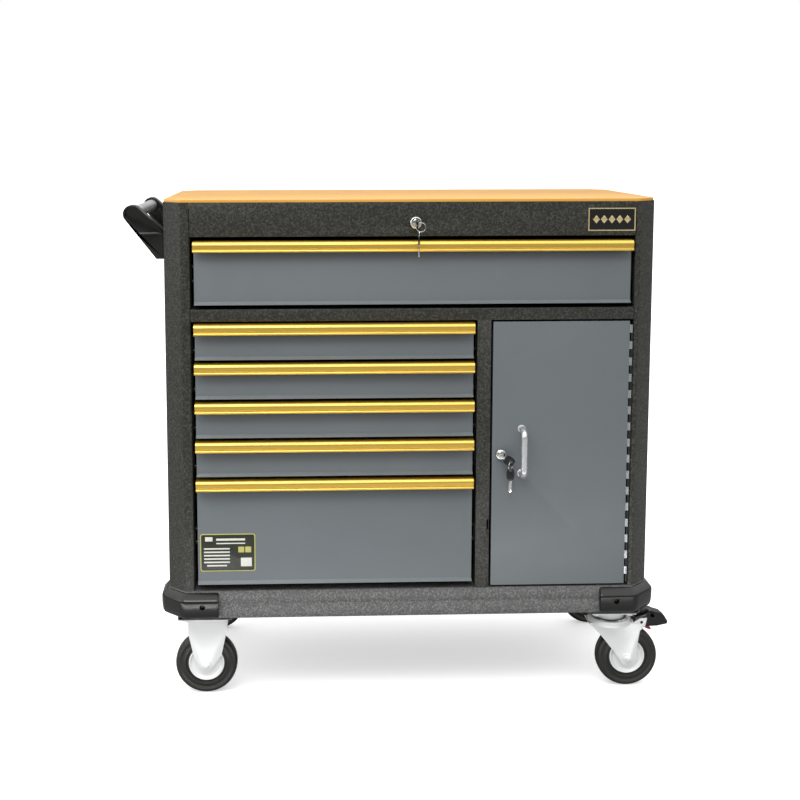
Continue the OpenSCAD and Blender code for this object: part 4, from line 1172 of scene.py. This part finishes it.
# %% Running a tree on a guide mesh
def grow(name, tree, keys, spots, aims, values, body, slot, stands_for=(), angle=35.0):
    guide_mesh = bpy.data.meshes.new("guide")
    guide_mesh.from_pydata([tuple(s) for s in spots], [], [])
    attribute = guide_mesh.attributes.new("aim", "FLOAT_VECTOR", "POINT")
    for item, direction in zip(attribute.data, aims):
        item.vector = direction
    guide = bpy.data.objects.new("guide", guide_mesh)
    bpy.context.scene.collection.objects.link(guide)
    modifier = guide.modifiers.new("grow", "NODES")
    modifier.node_group = tree
    for label, value in values.items():
        modifier[keys[label]] = value
    mesh = evaluated(guide)
    work = bmesh.new()
    work.from_mesh(mesh)
    bmesh.ops.recalc_face_normals(work, faces=work.faces)
    work.to_mesh(mesh)
    work.free()
    return finish_piece(name, mesh, None, body, stands_for, slot, angle)


def screws(name, spots, aims, radius, height, sides, recess, metal_finish, body, slot, stands_for=()):
    values = {"Head radius": radius * MM, "Head height": height * MM, "Sides": sides, "Recess": recess * MM,
              "Metal": metal_finish, "Dark": DARK_STEEL}
    return grow(name, screw_tree, screw_keys, spots, aims, values, body, slot, stands_for)


# %% [markdown]
# The bumpers' screws sit at the bottom of their seats. The back sheet is riveted along
# its flanges, and each caster plate has four hexagon bolts already, so here only the
# bumper screws and the rivets are grown.

# %% Screws and rivets
spots, aims = [], []
for sx in (-1, 1):
    for sy in (-1, 1):
        x = MIDDLE + sx * (MIDDLE - FRONT_SCREW_X)
        y = MID_Y + sy * (MID_Y - FRONT)
        spots.append((x, y + sy * 5.0 * MM, SCREW_Z))
        aims.append((0, sy, 0))
        x = MIDDLE + sx * (MIDDLE - LEFT)
        y = MID_Y + sy * (MID_Y - SIDE_SCREW_Y)
        spots.append((x + sx * 5.0 * MM, y, SCREW_Z))
        aims.append((sx, 0, 0))
screws("bumper_screw_heads", spots, aims, 4.6, 2.6, 24, 4.4, DARK_STEEL, "cabinet", "chrome_steel",
       ("bumper_screws",))

spots, aims = [], []
flange_x = CHAMFER.x + 13 * MM
for i in range(9):
    z = SIDE_LOW + 30 * MM + i * (SIDE_TOP - SIDE_LOW - 90 * MM) / 8
    for x in (LEFT + flange_x, RIGHT - flange_x):
        spots.append((x, BACK, z))
        aims.append((0, 1, 0))
screws("back_rivets", spots, aims, 3.2, 1.2, 16, 0.0, BLACK_PAINT, "cabinet", "black_powder_coat")

print("back rivets", len(spots))

# %% [markdown]
# ## Slide balls
# The drawers run on balls. They show only when a drawer is open, in the gaps between the
# members, so each row is a short line of small spheres with few faces, and it rides with
# the middle member whose cage would hold it.

# %% Ball rows
ball_tree, ball_keys, source, sink = node_tree("ball_row", [
    ("Radius", "NodeSocketFloat", 0.0011), ("Metal", "NodeSocketMaterial", None)])
ball = add(ball_tree, "GeometryNodeMeshIcoSphere")
ball.inputs["Subdivisions"].default_value = 2
wire(ball_tree, source.outputs["Radius"], ball.inputs["Radius"])
scatter = add(ball_tree, "GeometryNodeInstanceOnPoints")
wire(ball_tree, source.outputs["Geometry"], scatter.inputs["Points"])
wire(ball_tree, ball.outputs["Mesh"], scatter.inputs["Instance"])
real = add(ball_tree, "GeometryNodeRealizeInstances")
wire(ball_tree, scatter.outputs[0], real.inputs[0])
paint = add(ball_tree, "GeometryNodeSetMaterial")
wire(ball_tree, real.outputs[0], paint.inputs["Geometry"])
wire(ball_tree, source.outputs["Metal"], paint.inputs["Material"])
wire(ball_tree, paint.outputs[0], sink.inputs[0])

ball_count = 0
for number in range(1, 7):
    low, high = boxes[f"slide_middle_{number}"]
    mid_z = (low.z + high.z) / 2
    spots = []
    for edge_x, inward in ((low.x, 1), (high.x, -1)):
        for level in (-11.6, 11.6, -15.5, 15.5):
            for i in range(9):
                near = abs(level) < 13
                y = (low.y + 30 * MM + i * 12 * MM) if near else (high.y - 30 * MM - i * 12 * MM)
                spots.append((edge_x + inward * (7.0 if near else 4.0) * MM, y, mid_z + level * MM))
    grow(f"slide_{number}_balls", ball_tree, ball_keys, spots, [(0, 0, 1)] * len(spots),
         {"Radius": 1.1 * MM, "Metal": CHROME}, f"slide_{number}", "zinc_steel", angle=60)
    ball_count += len(spots)
print("balls", ball_count)

# %% [markdown]
# ## Drawer liners
# A ribbed rubber mat lies in each drawer. The ribs are one thin bar repeated across the
# mat's depth on a line of points, and the sheet under them is part of the same tree.

# %% Ribbed mats
mat_tree, mat_keys, source, sink = node_tree("ribbed_mat", [
    ("Width", "NodeSocketFloat", 0.5), ("Depth", "NodeSocketFloat", 0.4), ("Ribs", "NodeSocketInt", 40),
    ("Thickness", "NodeSocketFloat", 0.0015), ("Rubber", "NodeSocketMaterial", None)])
base = add(mat_tree, "GeometryNodeMeshCube")
size = add(mat_tree, "ShaderNodeCombineXYZ")
wire(mat_tree, source.outputs["Width"], size.inputs["X"])
wire(mat_tree, source.outputs["Depth"], size.inputs["Y"])
wire(mat_tree, source.outputs["Thickness"], size.inputs["Z"])
wire(mat_tree, size.outputs[0], base.inputs["Size"])
line = add(mat_tree, "GeometryNodeMeshLine")
wire(mat_tree, source.outputs["Ribs"], line.inputs["Count"])
inner_depth = gn_math(mat_tree, "MULTIPLY", source.outputs["Depth"], 0.97)
step = gn_math(mat_tree, "DIVIDE", inner_depth, gn_math(mat_tree, "SUBTRACT", source.outputs["Ribs"], 1))
begin = add(mat_tree, "ShaderNodeCombineXYZ")
wire(mat_tree, gn_math(mat_tree, "MULTIPLY", inner_depth, -0.5), begin.inputs["Y"])
wire(mat_tree, gn_math(mat_tree, "MULTIPLY", source.outputs["Thickness"], 0.7), begin.inputs["Z"])
stride = add(mat_tree, "ShaderNodeCombineXYZ")
wire(mat_tree, step, stride.inputs["Y"])
wire(mat_tree, begin.outputs[0], line.inputs["Start Location"])
wire(mat_tree, stride.outputs[0], line.inputs["Offset"])
rib = add(mat_tree, "GeometryNodeMeshCube")
rib_size = add(mat_tree, "ShaderNodeCombineXYZ")
wire(mat_tree, gn_math(mat_tree, "MULTIPLY", source.outputs["Width"], 0.985), rib_size.inputs["X"])
wire(mat_tree, gn_math(mat_tree, "MULTIPLY", step, 0.42), rib_size.inputs["Y"])
wire(mat_tree, gn_math(mat_tree, "MULTIPLY", source.outputs["Thickness"], 0.7), rib_size.inputs["Z"])
wire(mat_tree, rib_size.outputs[0], rib.inputs["Size"])
scatter = add(mat_tree, "GeometryNodeInstanceOnPoints")
wire(mat_tree, line.outputs[0], scatter.inputs["Points"])
wire(mat_tree, rib.outputs["Mesh"], scatter.inputs["Instance"])
sheet_join = add(mat_tree, "GeometryNodeJoinGeometry")
wire(mat_tree, scatter.outputs[0], sheet_join.inputs[0])
wire(mat_tree, base.outputs["Mesh"], sheet_join.inputs[0])
real = add(mat_tree, "GeometryNodeRealizeInstances")
wire(mat_tree, sheet_join.outputs[0], real.inputs[0])
paint = add(mat_tree, "GeometryNodeSetMaterial")
wire(mat_tree, real.outputs[0], paint.inputs["Geometry"])
wire(mat_tree, source.outputs["Rubber"], paint.inputs["Material"])
wire(mat_tree, paint.outputs[0], sink.inputs[0])

openings = {o["name"]: [Vector(c) for c in o["box_m"]] for o in frame["record"]["physics"]["openings"]}
for number in range(1, 7):
    low, high = openings[f"drawer_{number}_inside"]
    width, depth = high.x - low.x - 2 * MM, high.y - low.y - 2 * MM
    guide_mesh = bpy.data.meshes.new("guide")
    guide_mesh.from_pydata([(0, 0, 0)], [], [])
    guide = bpy.data.objects.new("guide", guide_mesh)
    bpy.context.scene.collection.objects.link(guide)
    modifier = guide.modifiers.new("grow", "NODES")
    modifier.node_group = mat_tree
    for label, value in (("Width", width), ("Depth", depth), ("Ribs", 56), ("Thickness", 1.4 * MM),
                         ("Rubber", LINER_RUBBER)):
        modifier[mat_keys[label]] = value
    liner = evaluated(guide)
    liner.transform(Matrix.Translation(((low.x + high.x) / 2, (low.y + high.y) / 2, low.z - 0.2 * MM)))
    finish_piece(f"drawer_{number}_liner", liner, None, f"drawer_{number}", slot="black_plastic")
print("liners", 6)

# %% [markdown]
# ## Brake parts
# The pedal is one moulded piece: its side outline is raised to both sides and narrows in
# plan towards the tip, and a slot is cut through it. A small red release tab hangs under
# it, and a bright ring of bearing race shows between the plate's cup and the turning dish.

# %% Pedals
PEDAL_SIDE = [(14, 145), (17, 151), (34, 156), (43, 162), (50, 162.5), (58, 159), (70, 156), (79, 148),
              (86, 136), (84, 131), (62, 128), (22, 129), (15, 135)]


def tapered_bar(outline, axle_x, middle_y, wide, narrow):
    count = len(outline)
    vertices = []
    for s in (-1, 1):
        for x, z in outline:
            share = min(max((x - 30) / 56, 0.0), 1.0)
            vertices.append((axle_x + x * MM, middle_y + s * (wide + (narrow - wide) * share) * MM, z * MM))
    faces = [tuple(range(count)), tuple(reversed(range(count, 2 * count)))]
    for i in range(count):
        j = (i + 1) % count
        faces.append((i, count + i, count + j, j))
    work = bmesh.new()
    work.from_mesh(mesh_from("pedal", vertices, faces))
    bmesh.ops.triangulate(work, faces=[f for f in work.faces if len(f.verts) > 4])
    mesh = bpy.data.meshes.new("pedal")
    work.to_mesh(mesh)
    work.free()
    return mesh


def cut_through(mesh, outline, axle_x, middle_y):
    cutter = bpy.data.objects.new("cutter", tapered_bar(outline, axle_x, middle_y, 40, 40))
    holder = bpy.data.objects.new("holder", mesh)
    for thing in (cutter, holder):
        bpy.context.scene.collection.objects.link(thing)
    cut = holder.modifiers.new("slot", "BOOLEAN")
    cut.operation = "DIFFERENCE"
    cut.solver = "EXACT"
    cut.object = cutter
    result = evaluated(holder)
    bpy.data.objects.remove(cutter)
    return result


for end in ("front", "rear"):
    low, high = boxes[f"brake_pedal_{end}"]
    axle = joint_at[f"wheel_{end}_right_spin"]
    middle_y = (low.y + high.y) / 2
    pedal = tapered_bar(PEDAL_SIDE, axle.x, middle_y, 17.4, 9.0)
    pedal = cut_through(pedal, [(43, 148), (57, 147), (53, 156), (47, 157)], axle.x, middle_y)
    pin = lathe([(0.01, -22.4), (2.6, -22.4), (3.0, -22.0), (3.0, 22.0), (2.6, 22.4), (0.01, 22.4)],
                (axle.x + 27 * MM, middle_y, 140 * MM), 24)
    finish_piece(f"brake_pedal_{end}_moulded", merged(bevelled(pedal, 1.1 * MM, 2), pin), PEDAL_PLASTIC,
                 f"pedal_{end}", (f"brake_pedal_{end}",))
print("pedal length", round((high.x - low.x) / MM), "mm")

# %% Red tabs, races and axle ends
for end in ("front", "rear"):
    low, high = boxes[f"brake_pedal_{end}"]
    mid_y = (low.y + high.y) / 2
    pin = joint_at[f"pedal_{end}_press"]
    tab_outline = [(3, -9), (7, -10), (17, -16.5), (24, -18.5), (26, -22.5), (23, -23.2), (14, -19.6),
                   (4, -14.5)]
    tab = plate(tab_outline, 9.0, 0.8 * MM)
    finish_piece(f"release_tab_{end}", placed(tab, Vector((pin.x, mid_y, pin.z))), RED_PLASTIC,
                 f"pedal_{end}", slot="black_plastic")
    kingpin = joint_at[f"swivel_{end}_turn"]
    race = lathe([(34.5, 146.2), (36.6, 146.2), (36.9, 148.6), (36.2, 149.6), (34.6, 149.2)],
                 (kingpin.x, kingpin.y, 0), 72, "z")
    finish_piece(f"bearing_race_{end}", race, CHROME, f"swivel_{end}", slot="zinc_steel")

caps = {"cabinet": [], "swivel_front": [], "swivel_rear": []}
for end, side in wheels:
    low, high = boxes[f"hub_{end}_{side}"]
    centre = (low + high) / 2
    body = "cabinet" if side == "left" else f"swivel_{end}"
    for s in (-1, 1):
        dome = [(0.01, s * 26.5), (5.6, s * 26.5), (5.6, s * 28.2), (4.6, s * 29.4), (2.4, s * 30.0),
                (0.01, s * 30.1)]
        caps[body].append(lathe(dome, centre, 28))
for body, meshes in caps.items():
    finish_piece(f"axle_ends_{body}", merged(*meshes), ZINC, body, slot="zinc_steel")
print("caster details done")

# %% [markdown]
# ## Stage
# A plain pale floor runs to a pale world. A large soft light hangs in front and above,
# one stands at the left, and a low strip lifts the base rail. The camera stands slightly to
# the chest's left and above it.

# %% Floor and world
floor_mesh = bpy.data.meshes.new("floor")
floor_mesh.from_pydata([(-30, -30, 0), (30, -30, 0), (30, 30, 0), (-30, 30, 0)], [], [(0, 1, 2, 3)])
floor = bpy.data.objects.new("floor", floor_mesh)
bpy.context.scene.collection.objects.link(floor)
floor_finish, floor_tree, floor_shader = new_finish("pale_floor", 0.7, specular=0.2)
straight = add(floor_tree, "ShaderNodeLightPath").outputs["Is Camera Ray"]
tone = layer_colour(floor_tree, (0.34, 0.34, 0.34, 1.0), (0.88, 0.88, 0.88, 1.0), straight)
wire(floor_tree, tone, floor_shader.inputs["Base Color"])
floor_shader.inputs["Emission Color"].default_value = (1.0, 1.0, 1.0, 1.0)
wire(floor_tree, math_node(floor_tree, "MULTIPLY", straight, 0.46), floor_shader.inputs["Emission Strength"])
floor_mesh.materials.append(floor_finish)

world = bpy.data.worlds.new("studio")
bpy.context.scene.world = world
world.use_nodes = True
sky = world.node_tree
background = sky.nodes["Background"]
height = add(sky, "ShaderNodeSeparateXYZ")
wire(sky, add(sky, "ShaderNodeTexCoord").outputs["Generated"], height.inputs[0])
glow = ramp(sky, height.outputs["Z"], 0.05, 0.75, 0.10, 1.7)
seen = add(sky, "ShaderNodeLightPath").outputs["Is Camera Ray"]
blend = add(sky, "ShaderNodeMix", data_type="FLOAT")
wire(sky, seen, blend.inputs["Factor"])
wire(sky, glow, blend.inputs[2])
blend.inputs[3].default_value = 1.0
background.inputs["Color"].default_value = (1.0, 1.0, 1.0, 1.0)
wire(sky, blend.outputs[0], background.inputs["Strength"])
bpy.context.scene.view_settings.view_transform = "Standard"
print("stage ready")


# %% Lights
def soft_light(name, location, target, size, power):
    light = bpy.data.lights.new(name, "AREA")
    light.shape = "RECTANGLE"
    light.size, light.size_y = size
    light.energy = power
    lamp = bpy.data.objects.new(name, light)
    bpy.context.scene.collection.objects.link(lamp)
    lamp.visible_camera = False
    lamp.location = location
    lamp.rotation_euler = (Vector(target) - Vector(location)).to_track_quat("-Z", "Y").to_euler()
    return lamp


soft_light("key", (-1.0, -2.0, 3.3), (0, 0, 0.9), (2.6, 1.2), 60)
soft_light("side", (-3.2, -0.6, 1.6), (-0.4, 0, 0.7), (1.2, 1.8), 12)
soft_light("low_strip", (-0.1, -0.70, 0.05), (0, FRONT, 0.22), (2.0, 0.05), 2.0)
print("lights", 3)

# %% Camera
yaw, pitch, roll = math.radians(2.041), math.radians(-6.467), math.radians(-0.098)
forward = Vector((math.sin(yaw) * math.cos(pitch), math.cos(yaw) * math.cos(pitch), math.sin(pitch)))
right = forward.cross(Vector((0, 0, 1))).normalized()
up = right.cross(forward)
right_rolled = right * math.cos(roll) + up * math.sin(roll)
up_rolled = up * math.cos(roll) - right * math.sin(roll)
camera_data = bpy.data.cameras.new("camera")
camera_data.lens = 55.44
camera_data.shift_x = 0.0735
camera_data.shift_y = -0.151
camera_data.clip_end = 100
camera = bpy.data.objects.new("camera", camera_data)
bpy.context.scene.collection.objects.link(camera)
turn = Matrix((right_rolled, up_rolled, -forward)).transposed().to_4x4()
camera.matrix_world = Matrix.Translation((MIDDLE - 0.2249, FRONT - 2.4099, 1.1415)) @ turn
bpy.context.scene.camera = camera
print("camera height", round(camera.location.z, 3))
